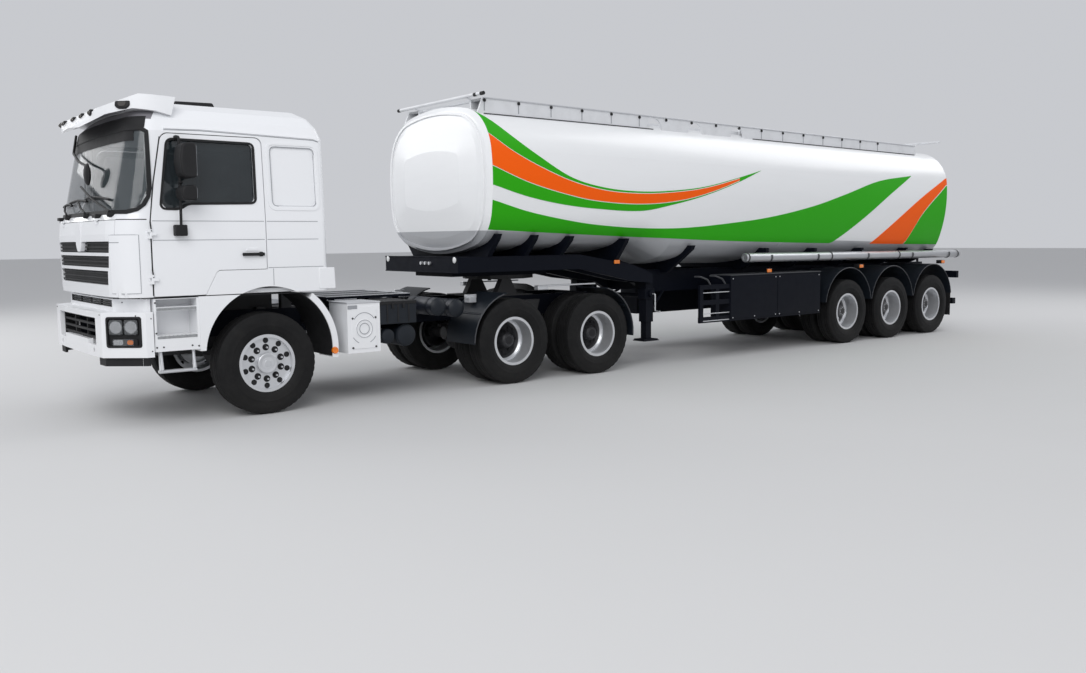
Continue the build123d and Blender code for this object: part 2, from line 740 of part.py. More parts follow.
cab_outer = cab_body(0)
glass_edge = 1125.0
screen_outline = [
    (1700, 2126),
    (1330, 2126),
    (1205, 2175),
    (glass_edge + 8, 2330),
    (glass_edge, 2900),
    (1700, 2900),
]
door_outline = [
    (door_front, flap_bottom),
    (626, flap_bottom),
    (500, 1534),
    (door_rear, 1534),
    (door_rear, 2876),
    (985, 2876),
    (1078, 2400),
    (door_front, 2040),
]
door_radii = [12, 30, 60, 12, 70, 90, 200, 300]
window_outline = [
    (74, 2810),
    (925, 2816),
    (1024, 2150),
    (830, 2150),
    (756, 2205),
    (80, 2218),
]
window_radii = [55, 60, 60, 60, 50, 55]
recess_outline = [(-600, 2185), (-110, 2185), (-110, 2800), (-600, 2800)]
recess_depth = 14.0

with BuildPart() as recess_floor:
    add(cab_body(recess_depth).part)
    rounded_side(axle_x, grown(recess_outline, 2), [60] * 4, (-1300, 1300), mode=Mode.INTERSECT)

with BuildPart() as cab_shell:
    add(cab_outer.part)
    for side in (-1, 1):
        across = sorted((side * 1100, side * 1300))
        rounded_side(axle_x, recess_outline, [60] * 4, across, mode=Mode.SUBTRACT)
    add(recess_floor.part)
    add(cab_body(cab_wall).part, mode=Mode.SUBTRACT)
    block(axle_x, (flap_back - side_gap, 1600), (-flap_half - swing_gap, flap_half + swing_gap),
          (cab_floor - 1, flap_top + side_gap), mode=Mode.SUBTRACT)
    rounded_side(axle_x, screen_outline, [2, 40, 60, 60, 40, 2], (-1300, 1300), mode=Mode.SUBTRACT)
    for side in (-1, 1):
        across = sorted((side * 1000, side * 1300))
        opening = grown(door_outline, swing_gap)
        rounded_side(axle_x, opening, door_radii, across, mode=Mode.SUBTRACT)
        cross_rod(axle_x, arch_x, sorted((side * (cab_half - cab_wall), side * 1300)), arch_z, arch_radius,
                  mode=Mode.SUBTRACT)
    inner = cab_half - cab_wall - 2
    block(axle_x, (cab_rear + cab_wall - 5, flap_back - side_gap), (-inner, inner),
          (cab_floor, cab_floor + cab_wall))
    block(axle_x, (1350, flap_back - side_gap), (-1085, 1085), (cab_floor, 2080))
    for side in (-1, 1):
        arm = [
            (tilt_x + 45, tilt_z - 30),
            (tilt_x + 45, tilt_z + 30),
            (1050, tilt_z + 30),
            (1050, cab_floor),
            (985, cab_floor),
            (985, tilt_z - 30),
        ]
        across = sorted((side * arm_inner, side * (arm_inner + arm_plate)))
        side_plate(axle_x, arm, across)
        cross_rod(axle_x, tilt_x, across, tilt_z, tilt_pin_radius + shaft_gap, mode=Mode.SUBTRACT)
        for station in (300, -560):
            block(axle_x, (station - 60, station + 60), sorted((side * 350, side * rail_outer)),
                  (rail_top + seat_gap, cab_floor))
        pin_y = side * (cab_half + hinge_out)
        lug = sorted((side * (cab_half - 30), side * (cab_half + hinge_out + hinge_barrel)))
        for middle in door_hinges:
            post(axle_x, hinge_x, pin_y, (middle - 45, middle + 45), hinge_pin)
            for z in ((middle - 45, middle - 15), (middle + 15, middle + 45)):
                post(axle_x, hinge_x, pin_y, z, hinge_barrel)
                block(axle_x, (hinge_x, hinge_x + 30), lug, z)
    for middle in flap_hinges:
        cross_rod(axle_x, flap_hinge_x, (middle - 45, middle + 45), flap_hinge_z, hinge_pin)
        for y in ((middle - 45, middle - 15), (middle + 15, middle + 45)):
            cross_rod(axle_x, flap_hinge_x, y, flap_hinge_z, hinge_barrel)
            block(axle_x, (1430, flap_hinge_x), y, (flap_hinge_z, flap_hinge_z + hinge_barrel))
finish(cab_shell, "cab_shell")

with BuildPart() as windscreen:
    add(cab_body(4).part)
    add(cab_body(14).part, mode=Mode.SUBTRACT)
    inside = grown(screen_outline, -seat_gap)
    rounded_side(axle_x, inside, [2, 40, 60, 60, 40, 2], (-1300, 1300), mode=Mode.INTERSECT)
finish(windscreen, "windscreen")

grille_slots = [
    (1722, 1832, 1000),
    (1577, 1690, 985),
    (1408, 1545, 950),
]
grille_depth = 1440.0
with BuildPart() as front_flap:
    add(cab_outer.part)
    block(axle_x, (flap_back, 1600), (-flap_half, flap_half), (flap_bottom, flap_top), mode=Mode.INTERSECT)
    for low, high, half in grille_slots:
        slot = [(-half, low), (-half - 12, high), (half + 12, high), (half, low)]
        end_plate(axle_x, slot, (grille_depth, 1600), mode=Mode.SUBTRACT)
    for middle in flap_hinges:
        y = (middle - 15 + hinge_slot, middle + 15 - hinge_slot)
        block(axle_x, (1460, flap_hinge_x + hinge_barrel), y, (2004, 2030))
        block(axle_x, (1494, flap_hinge_x + hinge_barrel), y, (2020, flap_hinge_z))
        cross_rod(axle_x, flap_hinge_x, y, flap_hinge_z, hinge_barrel)
        cross_rod(axle_x, flap_hinge_x, y, flap_hinge_z, hinge_pin + shaft_gap, mode=Mode.SUBTRACT)
finish(front_flap, "front_flap")

with BuildPart() as grille:
    for low, high, half in grille_slots:
        inner = half - seat_gap
        slot = [(-inner, low + seat_gap), (-inner - 12, high - seat_gap), (inner + 12, high - seat_gap),
                (inner, low + seat_gap)]
        end_plate(axle_x, slot, (grille_depth, grille_depth + 10))
        for i in range(3):
            middle = low + (high - low) * (i + 0.5) / 3
            block(axle_x, (grille_depth, grille_depth + 30), (-inner, inner), (middle - 7, middle + 7))
finish(grille, "grille")

with BuildPart() as sun_visor:
    cap = [
        (860, 3055),
        (815, 3234),
        (1150, 3250),
        (1440, 3130),
        (1556, 2990),
        (1530, 2972),
        (1400, 3060),
        (1200, 3110),
        (1000, 3090),
    ]
    side_plate(axle_x, cap, (-1150, 1150))
    with BuildSketch(Plane.XY.offset(2900)) as visor_plan:
        with BuildLine():
            ThreePointArc((axle_x + 1430, -760), (axle_x + 1556, 0), (axle_x + 1430, 760))
            ThreePointArc((axle_x + 1430, 760), (axle_x + 1240, 1020), (axle_x + 900, 1130))
            Polyline((axle_x + 900, 1130), (axle_x + 700, 1130), (axle_x + 700, -1130), (axle_x + 900, -1130))
            ThreePointArc((axle_x + 900, -1130), (axle_x + 1240, -1020), (axle_x + 1430, -760))
        make_face()
    extrude(to_extrude=visor_plan.sketch, amount=400, mode=Mode.INTERSECT)
    add(cab_outer.part, mode=Mode.SUBTRACT)
finish(sun_visor, "sun_visor")


def make_door():
    """Left door: a slice of the cab's skin with its window cut."""
    with BuildPart() as door:
        add(cab_outer.part)
        add(cab_body(cab_wall).part, mode=Mode.SUBTRACT)
        rounded_side(axle_x, door_outline, door_radii, (1000, 1300), mode=Mode.INTERSECT)
        rounded_side(axle_x, window_outline, window_radii, (1000, 1300), mode=Mode.SUBTRACT)
        pin_y = cab_half + hinge_out
        for middle in door_hinges:
            z = (middle - 15 + hinge_slot, middle + 15 - hinge_slot)
            block(axle_x, (hinge_x - 50, door_front), (cab_half - 20, pin_y + hinge_barrel), z)
            block(axle_x, (hinge_x - 50, hinge_x), (pin_y - hinge_barrel, pin_y + hinge_barrel), z)
            post(axle_x, hinge_x, pin_y, z, hinge_barrel)
            post(axle_x, hinge_x, pin_y, z, hinge_pin + shaft_gap, mode=Mode.SUBTRACT)
    return door


door_left = make_door()
finish(door_left, "door_left")
with BuildPart() as door_right:
    mirror(door_left.part, about=Plane.XZ)
finish(door_right, "door_right")

with BuildPart() as door_glass_left:
    add(cab_body(22).part)
    add(cab_body(30).part, mode=Mode.SUBTRACT)
    glass = grown(window_outline, -seat_gap)
    rounded_side(axle_x, glass, window_radii, (1000, 1300), mode=Mode.INTERSECT)
finish(door_glass_left, "door_glass_left")
with BuildPart() as door_glass_right:
    mirror(door_glass_left.part, about=Plane.XZ)
finish(door_glass_right, "door_glass_right")

mirror_inner = 1245.0
mirror_outer = 1475.0
mirror_post = (850, 1280)        # station and place across of the upright tube
with BuildPart() as mirrors_left:
    block(axle_x, (745, 865), (mirror_inner, mirror_outer), (2430, 2776))
    block(axle_x, (750, 880), (mirror_inner + 5, mirror_outer - 5), (2214, 2369))
    post(axle_x, mirror_post[0], mirror_post[1], (1930, 2850), 13)
    block(axle_x, (mirror_post[0] - 40, mirror_post[0] + 70), (1200, 1300), (1883, 1984))
    block(axle_x, (mirror_post[0] - 13, mirror_post[0] + 13), (1150, mirror_post[1] + 13), (2824, 2850))
    add(cab_outer.part, mode=Mode.SUBTRACT)
finish(mirrors_left, "mirrors_left")
with BuildPart() as mirrors_right:
    mirror(mirrors_left.part, about=Plane.XZ)
finish(mirrors_right, "mirrors_right")

cabin_floor = cab_floor + cab_wall
with BuildPart() as cab_interior:
    profile = [
        (1350, cabin_floor),
        (1350, 2060),
        (1300, 2090),
        (1080, 2050),
        (1040, 1930),
        (1120, 1760),
        (1180, cabin_floor),
    ]
    side_plate(axle_x, profile, (-1040, 1040))
    with Locations(Location((axle_x + 960, 520, 1975), (0, 65, 0))):
        Torus(225, 16)
    for spoke in (-1, 1):
        block(axle_x, (945, 975), sorted((520, 520 + spoke * 220)), (1955, 1990))
    block(axle_x, (950, 1090), (500, 540), (1955, 1990))
    for side in (-1, 1):
        across = sorted((side * 300, side * 800))
        block(axle_x, (180, 640), sorted((side * 380, side * 720)), (cabin_floor, 1640))
        block(axle_x, (160, 680), across, (1640, 1780))
        back = [(160, 1640), (290, 1780), (190, 2440), (60, 2440)]
        side_plate(axle_x, back, across)
        side_plate(axle_x, [(55, 2440), (175, 2440), (160, 2640), (70, 2640)], sorted((side * 420, side * 680)))
    block(axle_x, (cab_rear + cab_wall + seat_gap, -90), (-1080, 1080), (cabin_floor, 1800))
finish(cab_interior, "cab_interior")

# Tank. Each row gives the station from the kingpin, the top, the bottom and how
# far the section is drawn in. Every section is four large arcs with rounded corners.
crown_radius = 3600.0
belly_radius = 3000.0
flank_radius = 2400.0
flank_middle = 2560.0
shoulder_radius = 640.0
bilge_radius = 500.0
head_rim = 60.0
tank_rows = [
    (tank_front + 125, 3517, 1632, 560),
    (tank_front + 85, 3517, 1632, 200),
    (tank_front + 45, 3517, 1632, 60),
    (tank_front, 3517, 1632, 0),
    (-1880, 3502, 1606, 0),
    (-2420, 3497, 1425, 0),
    (tank_rear - 35, 3427, 1329, 0),
    (tank_rear - 110, 3426, 1328, 60),
    (tank_rear - 190, 3426, 1328, 240),
    (tank_rear - 250, 3426, 1328, 560),
]


def tank_section(row):
    """Upright cross-section of the tank at one row of the table."""
    station, top, bottom, inset = row
    with BuildSketch(Plane.YZ.offset(pin_x + station)) as section:
        with Locations((0, top - crown_radius)):
            Circle(crown_radius - inset)
        with Locations((0, bottom + belly_radius)):
            Circle(belly_radius - inset, mode=Mode.INTERSECT)
        for side in (-1, 1):
            with Locations((side * (tank_half - flank_radius), flank_middle)):
                Circle(flank_radius - inset, mode=Mode.INTERSECT)
        corners = section.vertices().sort_by(Axis.Y)
        fillet(corners[2:], max(shoulder_radius - inset, 60))
        corners = section.vertices().sort_by(Axis.Y)
        fillet(corners[:2], max(bilge_radius - inset, 60))
    return section.sketch


with BuildPart() as tank:
    for row in zip(tank_rows[:-1], tank_rows[1:]):
        loft(sections=[tank_section(row[0]).face(), tank_section(row[1]).face()], ruled=True)
finish(tank, "tank")

# Frame of the trailer: a wide deck over the coupling, a gooseneck and two beams,
# with a saddle under the tank at each row of the table: station, height of the
# tips, height and half width where the saddle stands.
beam_rear = -10060.0
beam_outer = beam_inner + beam_width
neck_start = -880.0
neck_end = -2050.0
beam_top = 1300.0
saddle_wide = 70.0
saddle_rows = [
    (630, 1885, deck_top, deck_half),
    (50, 1868, deck_top, deck_half),
    (-540, 1850, deck_top, deck_half),
    (-1530, 1812, 1400, deck_half - 80),
    (-2850, 1700, beam_top, 620),
    (-4510, 1640, beam_top, 620),
    (-5740, 1625, beam_top, 620),
    (-7050, 1612, beam_top, 620),
    (-8430, 1595, beam_top, 620),
    (-9350, 1560, beam_top, 620),
]
tube_z = 1500.0                 # hose tubes along the sides
tube_y = 1165.0
tube_radius = 77.0
tube_front = -3947.0
tube_rear = -9950.0
with BuildPart() as trailer_frame:
    block(pin_x, (neck_start, 1103), (-deck_half, deck_half), (deck_bottom, deck_top))
    block(pin_x, (-640, 900), (-450, 450), (coupling_height, deck_bottom))
    post(pin_x, 0, 0, (coupling_height - kingpin_length, coupling_height), kingpin_radius)
    for side in (-1, 1):
        beam_across = sorted((side * beam_inner, side * beam_outer))
        neck = [
            (neck_start + 200, deck_top - 20),
            (neck_start + 200, deck_bottom + 5),
            (neck_start, deck_bottom),
            (neck_end + 240, 1215),
            (neck_end - 200, 1165),
            (neck_end - 500, beam_bottom),
            (beam_rear, beam_bottom),
            (beam_rear, beam_top),
            (neck_end - 500, beam_top + 40),
            (neck_end + 100, 1500),
        ]
        side_plate(pin_x, neck, beam_across)
        cheek = [
            (neck_start + 5, deck_top),
            (neck_start + 5, deck_bottom),
            (neck_end + 240, 1215),
            (neck_end - 200, 1165),
            (neck_end - 200, 1300),
            (neck_end + 200, 1440),
        ]
        side_plate(pin_x, cheek, sorted((side * (deck_half - 60), side * deck_half)))
        block(pin_x, (neck_end - 200, neck_end - 140), sorted((side * 420, side * deck_half)), (1165, 1290))
    for station in (-2600, -4700, -5900, -7230, -8540, -9500):
        block(pin_x, (station - 40, station + 40), (-beam_inner - 5, beam_inner + 5), (beam_bottom + 40, 1240))
    for station, tip, foot, foot_half in saddle_rows:
        along = (station - saddle_wide / 2, station + saddle_wide / 2)
        base_z = foot - 4
        right = [(-1140, tip), (-1110, tip - 60), (-foot_half, base_z)]
        left = [(-py, pz) for py, pz in reversed(right)]
        end_plate(pin_x, right + left, along)
        if station < tube_front:
            for side in (-1, 1):
                block(pin_x, along, sorted((side * 1080, side * 1150)), (tube_z, tip))
    add(tank.part, mode=Mode.SUBTRACT)
    for side in (-1, 1):
        seat = tube_radius + seat_gap
        long_rod(pin_x, (tube_rear, tube_front), side * tube_y, tube_z, seat, mode=Mode.SUBTRACT)
finish(trailer_frame, "trailer_frame")

with BuildPart() as trailer_axles:
    for station in trailer_stations:
        beam_axle(pin_x, station, 63, trailer_track_half)
    for side in (-1, 1):
        across = sorted((side * 415, side * 485))
        for station in trailer_stations:
            leaf_spring(pin_x, station, across, 760, tyre_radius + 58, 60, 520)
        for i in range(4):
            station = trailer_stations[0] + trailer_spacing * (0.5 - i)
            hanger = [(station - 190, beam_bottom), (station + 190, beam_bottom), (station + 150, 740), (station - 150, 740)]
            side_plate(pin_x, hanger, across)
finish(trailer_axles, "trailer_axles")

with BuildPart() as landing_legs:
    for side in (-1, 1):
        block(pin_x, (-2310, -2165), sorted((side * 700, side * 845)), (600, 1165))
        block(pin_x, (-2290, -2185), sorted((side * 718, side * 827)), (350, 600))
        block(pin_x, (-2370, -2105), sorted((side * 660, side * 885)), (330, 352))
        block(pin_x, (-2310, -2290), sorted((side * beam_outer, side * 700)), (1020, 1160))
    cross_rod(pin_x, -2237, (-700, 700), 980, 28)
finish(landing_legs, "landing_legs")

locker_front = -3573.0
locker_rear = -5787.0
with BuildPart() as side_lockers:
    for side in (-1, 1):
        block(pin_x, (locker_rear, locker_front), sorted((side * 820, side * 1215)), (555, 1240))
        for station in (-3900, -4700, -5500):
            block(pin_x, (station - 40, station + 40), sorted((side * beam_outer, side * 820)), (1040, 1140))
        across = sorted((side * 1165, side * 1205))
        for low, high in ((555, 640), (820, 890), (1050, 1115)):
            block(pin_x, (locker_front, -2915), across, (low, high))
        for station in (-2955, -3300):
            block(pin_x, (station - 35, station + 35), across, (555, 1115))
finish(side_lockers, "side_lockers")

with BuildPart() as hose_tubes:
    for side in (-1, 1):
        long_rod(pin_x, (tube_rear, tube_front), side * tube_y, tube_z, tube_radius)
        with Locations(Location((pin_x + tube_rear - 60, side * tube_y, tube_z), (0, -90, 0))):
            Cone(tube_radius, 45, 120)
finish(hose_tubes, "hose_tubes")

with BuildPart() as trailer_guards:
    for side in (-1, 1):
        across = sorted((side * 590, side * 1235))
        for station in trailer_stations:
            arc_band(pin_x, (station, 633), 642, 14, (8, 172), across)
        for station in trailer_stations:
            cross_rod(pin_x, station, sorted((side * beam_outer, side * 700)), 1262, 22)
finish(trailer_guards, "trailer_guards")

walk_front = 690.0
walk_rear = -9000.0
walk_heights = (3572, 3462)      # top of the walkway's side plates, front and rear
walk_arches = [-2277, -3117, -4057]
front_bar = 770.0
rear_bar = -9640.0
bar_half = 1030.0
bar_radius = 22.0


def walk_top(station):
    """Height of the walkway's side plates at a station."""
    share = (walk_front - station) / (walk_front - walk_rear)
    return walk_heights[0] + (walk_heights[1] - walk_heights[0]) * share


with BuildPart() as walkway:
    for side in (-1, 1):
        outer = sorted((side * 870, side * 900))
        plate = [(walk_front + 95, 3340), (walk_front, walk_top(walk_front)), (walk_rear, walk_top(walk_rear)),
                 (walk_rear - 60, 3260)]
        side_plate(pin_x, plate, outer)
        inner = sorted((side * 610, side * 640))
        for front, rear in ((walk_front, -2250), (-4420, walk_rear)):
            rail = [(front, 3360), (front, walk_top(front)), (rear, walk_top(rear)), (rear, 3300)]
            side_plate(pin_x, rail, inner)
        block(pin_x, (-4430, -2240), sorted((side * 610, side * 625)), (3350, 3470))
    for station in (walk_front - 40, walk_rear + 40):
        top = walk_top(station) - 4
        block(pin_x, (station - 30, station + 30), (-900, 900), (top - 26, top))
    cross_rod(pin_x, front_bar, (-bar_half, bar_half), 3600, bar_radius)
    cross_rod(pin_x, rear_bar, (-bar_half, bar_half), 3555, bar_radius)
    for side in (-1, 1):
        across = sorted((side * 615, side * 640))
        front_brace = [(front_bar + 10, 3588), (front_bar + 10, 3612), (walk_front - 120, 3566), (walk_front - 120, 3530)]
        side_plate(pin_x, front_brace, across)
        rear_brace = [(rear_bar - 10, 3545), (rear_bar - 10, 3567), (walk_rear + 120, 3460), (walk_rear + 120, 3425)]
        side_plate(pin_x, rear_brace, across)
    for station in (-600, -2600, -3340, -4080, -5900, -7900):
        post(pin_x, station, 0, (3380, walk_top(station) - 30), 250)
        post(pin_x, station, 0, (walk_top(station) - 30, walk_top(station)), 285)
    add(tank.part, mode=Mode.SUBTRACT)
    for side in (-1, 1):
        outer = sorted((side * 870, side * 900))
        for station in walk_arches:
            cross_rod(pin_x, station, outer, walk_top(station) - 185, 155, mode=Mode.SUBTRACT)
finish(walkway, "walkway")

ladder_rear = -10357.0
with BuildPart() as rear_end:
    back = (beam_rear - 100, beam_rear)
    for side in (-1, 1):
        block(pin_x, back, sorted((side * beam_inner, side * beam_outer)), (600, 1150))
    block(pin_x, back, (-1150, 1150), (500, 610))
    block(pin_x, (beam_rear - 95, beam_rear - 20), (-1200, 1200), (1000, 1130))
    for side in (-1, 1):
        across = sorted((side * 202, side * 233))
        block(pin_x, (ladder_rear, ladder_rear + 30), sorted((side * 200, side * 235)), (1000, 3380))
        block(pin_x, (ladder_rear + 20, beam_rear - 60), across, (1025, 1055))
        for height in (1900, 3100):
            block(pin_x, (ladder_rear + 20, tank_rear - 200), across, (height, height + 30))
    for height in range(1150, 3350, 300):
        cross_rod(pin_x, ladder_rear + 15, (-210, 210), height, 15)
    add(tank.part, mode=Mode.SUBTRACT)
finish(rear_end, "rear_end")
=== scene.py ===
"""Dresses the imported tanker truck: paint, livery, tyres, trim, fittings and stage."""

import math

import bmesh
import bpy
from mathutils import Matrix, Vector
from mathutils.bvhtree import BVHTree


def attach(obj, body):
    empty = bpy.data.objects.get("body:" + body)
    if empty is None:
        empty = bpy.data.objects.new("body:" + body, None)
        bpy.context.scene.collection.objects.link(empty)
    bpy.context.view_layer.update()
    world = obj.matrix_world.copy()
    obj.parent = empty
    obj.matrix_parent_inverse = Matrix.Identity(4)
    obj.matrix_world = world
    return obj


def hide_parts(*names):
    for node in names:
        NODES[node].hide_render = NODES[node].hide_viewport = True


bl_info = {
    "name": "Tanker truck dressing",
    "version": (1, 0, 0),
    "blender": (4, 5, 0),
    "location": "View3D > Sidebar > Tanker",
    "description": "Dresses a packed tanker truck with paint, livery, tyres, trim and fittings",
    "category": "Object",
}

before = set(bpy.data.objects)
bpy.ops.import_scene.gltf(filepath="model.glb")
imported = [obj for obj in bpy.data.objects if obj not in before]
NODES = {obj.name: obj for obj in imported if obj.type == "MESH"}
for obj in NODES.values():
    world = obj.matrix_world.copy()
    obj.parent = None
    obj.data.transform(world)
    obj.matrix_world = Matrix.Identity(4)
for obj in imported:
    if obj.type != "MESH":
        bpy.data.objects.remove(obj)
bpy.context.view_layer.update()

# Stations and heights are metres in the row frame.
AXLE_X = 6.240          # front axle
PIN_X = 2.537           # kingpin
DRIVE_X = (2.997, 1.597)
TRAILER_X = (-4.035, -5.345, -6.655)
WHEEL_Z = 0.540
FRONT_TRACK, DRIVE_TRACK, TRAILER_TRACK = 1.077, 0.897, 0.917     # from the middle plane
TWIN = 0.170            # from the middle of a twin wheel to each of its tyres
TYRE_RADIUS = 0.5400
NUT_CIRCLE = 0.1675     # radius of the ring of nuts
DUST = (0.55, 0.53, 0.50)
MERGE = 1e-5            # points closer than this become one
STRIP_TOP = 0.86        # a strip's width at its top, as a share of its foot
FILM = 0.0035           # how far a livery band stands off the tank
SIDES = (("left", 1), ("right", -1))


# ---------------------------------------------------------------- points
def spread(first, last, steps):
    """Evenly spaced values with both ends."""
    return [first + (last - first) * i / steps for i in range(steps + 1)]


def arc(u, v, radius, turns, tall=None):
    """Points of a circle, or of an ellipse, at turns in degrees."""
    tall = radius if tall is None else tall
    return [(u + radius * math.cos(math.radians(t)), v + tall * math.sin(math.radians(t))) for t in turns]


def circle(u, v, radius, steps, tall=None):
    return arc(u, v, radius, spread(0, 360, steps)[:-1], tall)


def about(middle, half):
    """The two values half a width either side of a middle."""
    return middle - half, middle + half


def hoop(half, inner, outer):
    """Section of (along, radius) of a flat ring, for Form.lathe."""
    return [(-half, inner), (-half, outer), (half, outer), (half, inner)]


def turned(axis, u, v, along):
    """Point from two values across an axis and one along it."""
    return {"X": (along, u, v), "Y": (u, along, v), "Z": (u, v, along)}[axis]


def placed(points, x, side):
    """Points moved to a station, and mirrored for side -1."""
    return [(x + p[0], side * p[1], p[2]) for p in points]


def spaced(points, step):
    """The same polyline with points at most a step apart."""
    out = [points[0]]
    for a, b in zip(points, points[1:]):
        n = max(1, math.ceil(math.dist(a, b) / step))
        out += [tuple(p + (q - p) * i / n for p, q in zip(a, b)) for i in range(1, n + 1)]
    return out


def ring_of(points, step):
    """Closed outline with points at most a step apart."""
    return spaced(points + points[:1], step)[:-1]


def rounded(points, radius, steps=5):
    """Closed outline with its corners rounded, by one radius or one for each."""
    out = []
    for i, corner in enumerate(points):
        before, here, after = Vector(points[i - 1]), Vector(corner), Vector(points[(i + 1) % len(points)])
        r = radius[i] if hasattr(radius, "__len__") else radius
        a, b = (here + (end - here).normalized() * min(r, (end - here).length * 0.49) for end in (before, after))
        for t in spread(0, 1, steps):
            out.append(tuple(a * (1 - t) ** 2 + here * 2 * t * (1 - t) + b * t**2))
    return out


def oblong(x, z):
    """Four corners from two values along each way."""
    return [(x[0], z[0]), (x[1], z[0]), (x[1], z[1]), (x[0], z[1])]


def grid_rim(rows, cols):
    """Row and column of each place round a grid's rim."""
    rim = [(0, j) for j in range(cols)] + [(i, cols - 1) for i in range(1, rows)]
    return rim + [(rows - 1, j) for j in range(cols - 2, -1, -1)] + [(i, 0) for i in range(rows - 2, 0, -1)]


# ---------------------------------------------------------------- shader maths
def math_method(operation, swapped=False):
    """A method that adds a Math node for a wire and another value."""
    def method(wire, other):
        return wire.finish.maths(operation, *((other, wire) if swapped else (wire, other)))
    return method


class Wire:
    """One output of a material's node tree; sums and products of wires add Math nodes."""

    def __init__(self, finish, socket):
        self.finish, self.socket = finish, socket

    __add__, __radd__ = math_method("ADD"), math_method("ADD", swapped=True)
    __sub__, __rsub__ = math_method("SUBTRACT"), math_method("SUBTRACT", swapped=True)
    __mul__, __rmul__ = math_method("MULTIPLY"), math_method("MULTIPLY", swapped=True)


class Finish:
    """One material, made of named node chains on Object coordinates."""

    def __init__(self, name, **constants):
        self.material = bpy.data.materials.new(name)
        self.material.use_nodes = True
        self.tree = self.material.node_tree
        self.shader = self.tree.nodes["Principled BSDF"]
        self.put(self.shader, constants)
        self.coords = self.node("ShaderNodeTexCoord", {}, {}, "Object")

    def put(self, node, sockets):
        """Sets or links a node's sockets, given by name or number."""
        for key, value in sockets.items():
            socket = node.inputs[key.replace("_", " ") if isinstance(key, str) else key]
            if isinstance(value, Wire):
                self.tree.links.new(value.socket, socket)
            else:
                socket.default_value = value

    def node(self, kind, settings, sockets, output=0):
        """Adds one node: its settings first, then its sockets' values or links."""
        made = self.tree.nodes.new(kind)
        for key, value in settings.items():
            setattr(made, key, value)
        self.put(made, sockets)
        return Wire(self, made.outputs[output])

    def maths(self, operation, first, second):
        return self.node("ShaderNodeMath", {"operation": operation}, {0: first, 1: second})

    def mix(self, share, first, second):
        """Colour between two colours."""
        return self.node("ShaderNodeMix", {"data_type": "RGBA"}, {0: share, 6: first, 7: second}, 2)

    def faded(self, share, colour, factor, lift=0.0):
        """A colour mixed with a darker or paler one of the same hue."""
        return self.mix(share, rgba(colour), rgba([min(1.0, c * factor + lift) for c in colour]))

    def noise(self, scale, detail=3.0, stretch=(1, 1, 1)):
        place = self.node("ShaderNodeMapping", {}, {"Vector": self.coords, "Scale": stretch})
        return self.node("ShaderNodeTexNoise", {}, {"Vector": place, "Scale": scale, "Detail": detail})

    def waves(self, direction, scale):
        return self.node("ShaderNodeTexWave", {"bands_direction": direction}, {"Vector": self.coords, "Scale": scale})

    def between(self, value, none, full):
        """0 on one side of a value, 1 beyond another."""
        return self.node("ShaderNodeMapRange", {"clamp": True}, {0: value, 1: none, 2: full, 3: 0.0, 4: 1.0})

    def along(self, axis):
        return self.node("ShaderNodeSeparateXYZ", {}, {0: self.coords}, axis)

    def dusty(self, colour, dust, top, amount):
        """Paint colour that fades into road dust from the ground up to a height."""
        low = self.between(self.along("Z"), top, 0.3)
        cloud = self.between(self.noise(2.3, 5.0), 0.35, 0.75)
        return self.mix(low * amount * (0.45 + 0.55 * cloud), rgba(colour), rgba(dust))

    def look(self, colour, rough, bump=None, **others):
        """Links the shader; bump is a value, a strength and a distance. Gives the material back."""
        self.put(self.shader, {"Base Color": colour, "Roughness": rough, **others})
        if bump:
            sockets = dict(zip(("Height", "Strength", "Distance"), bump))
            self.put(self.shader, {"Normal": self.node("ShaderNodeBump", {}, sockets)})
        return self.material


def rgba(colour):
    return (*colour, 1.0)


def gloss_paint(name, colour, lining=None, mask=None, duller=0.0):
    """Cab paint, with a dark lining on the faces that a mask picks out."""
    f = Finish(name, Coat_Weight=0.55, Coat_Roughness=0.12)
    paint = f.dusty(colour, DUST, 1.7, 0.22)
    rough = 0.26 + 0.14 * f.noise(3.1, 4.0)
    if mask is None:
        return f.look(paint, rough, (f.noise(260.0, 1.0), 0.015, 0.001))
    share = mask(f, *(f.along(axis) for axis in "XYZ"))
    return f.look(f.mix(share, paint, rgba(lining)), rough + duller * share, Coat_Weight=0.55 - 0.55 * share)


def cab_lining(f, x, y, z):
    """The faces that look into the cab, and the cab's underside."""
    reach = 1.190 - 0.06 * f.maths("MAXIMUM", z - 2.1, 0.0)
    inside = f.between(reach * reach - y * y, 0.0, 0.004)
    inside *= f.between(x, AXLE_X - 0.69, AXLE_X - 0.68) * f.between(x, AXLE_X + 1.07, AXLE_X + 1.06)
    inside *= f.between(z, 2.935, 2.925) * f.between(z, 1.325, 1.335)
    below = f.between(z, 1.300, 1.290) * f.between(y * y, 1.11**2, 1.10**2)
    return inside + below * f.between(x, AXLE_X + 0.91, AXLE_X + 0.90)


def fender_lining(f, x, y, z):
    """The brackets, and the faces over the front wheels."""
    along, up, across = x - (AXLE_X - 0.040), z - 0.660, y * y
    arch = f.between(along * along + up * up, 0.702**2, 0.698**2) * f.between(across, 1.19**2, 1.18**2)
    inner = f.between(across, 0.81**2, 0.80**2)
    return f.between(arch + inner, 0.2, 0.8) * f.between(x, AXLE_X + 0.70, AXLE_X + 0.69)


def stripe_paint(name, colour):
    """Flat film colour of the livery, duller than the paint round it."""
    f = Finish(name, Specular_IOR_Level=0.15)
    streak = f.between(f.noise(2.0, 5.0, (0.6, 1, 6)), 0.45, 0.8)
    return f.look(f.faded(streak * 0.08, colour, 0.85), 0.38 + 0.12 * f.noise(2.4, 3.0),
                  (f.noise(1.6, 2.0), 0.08, 0.004))


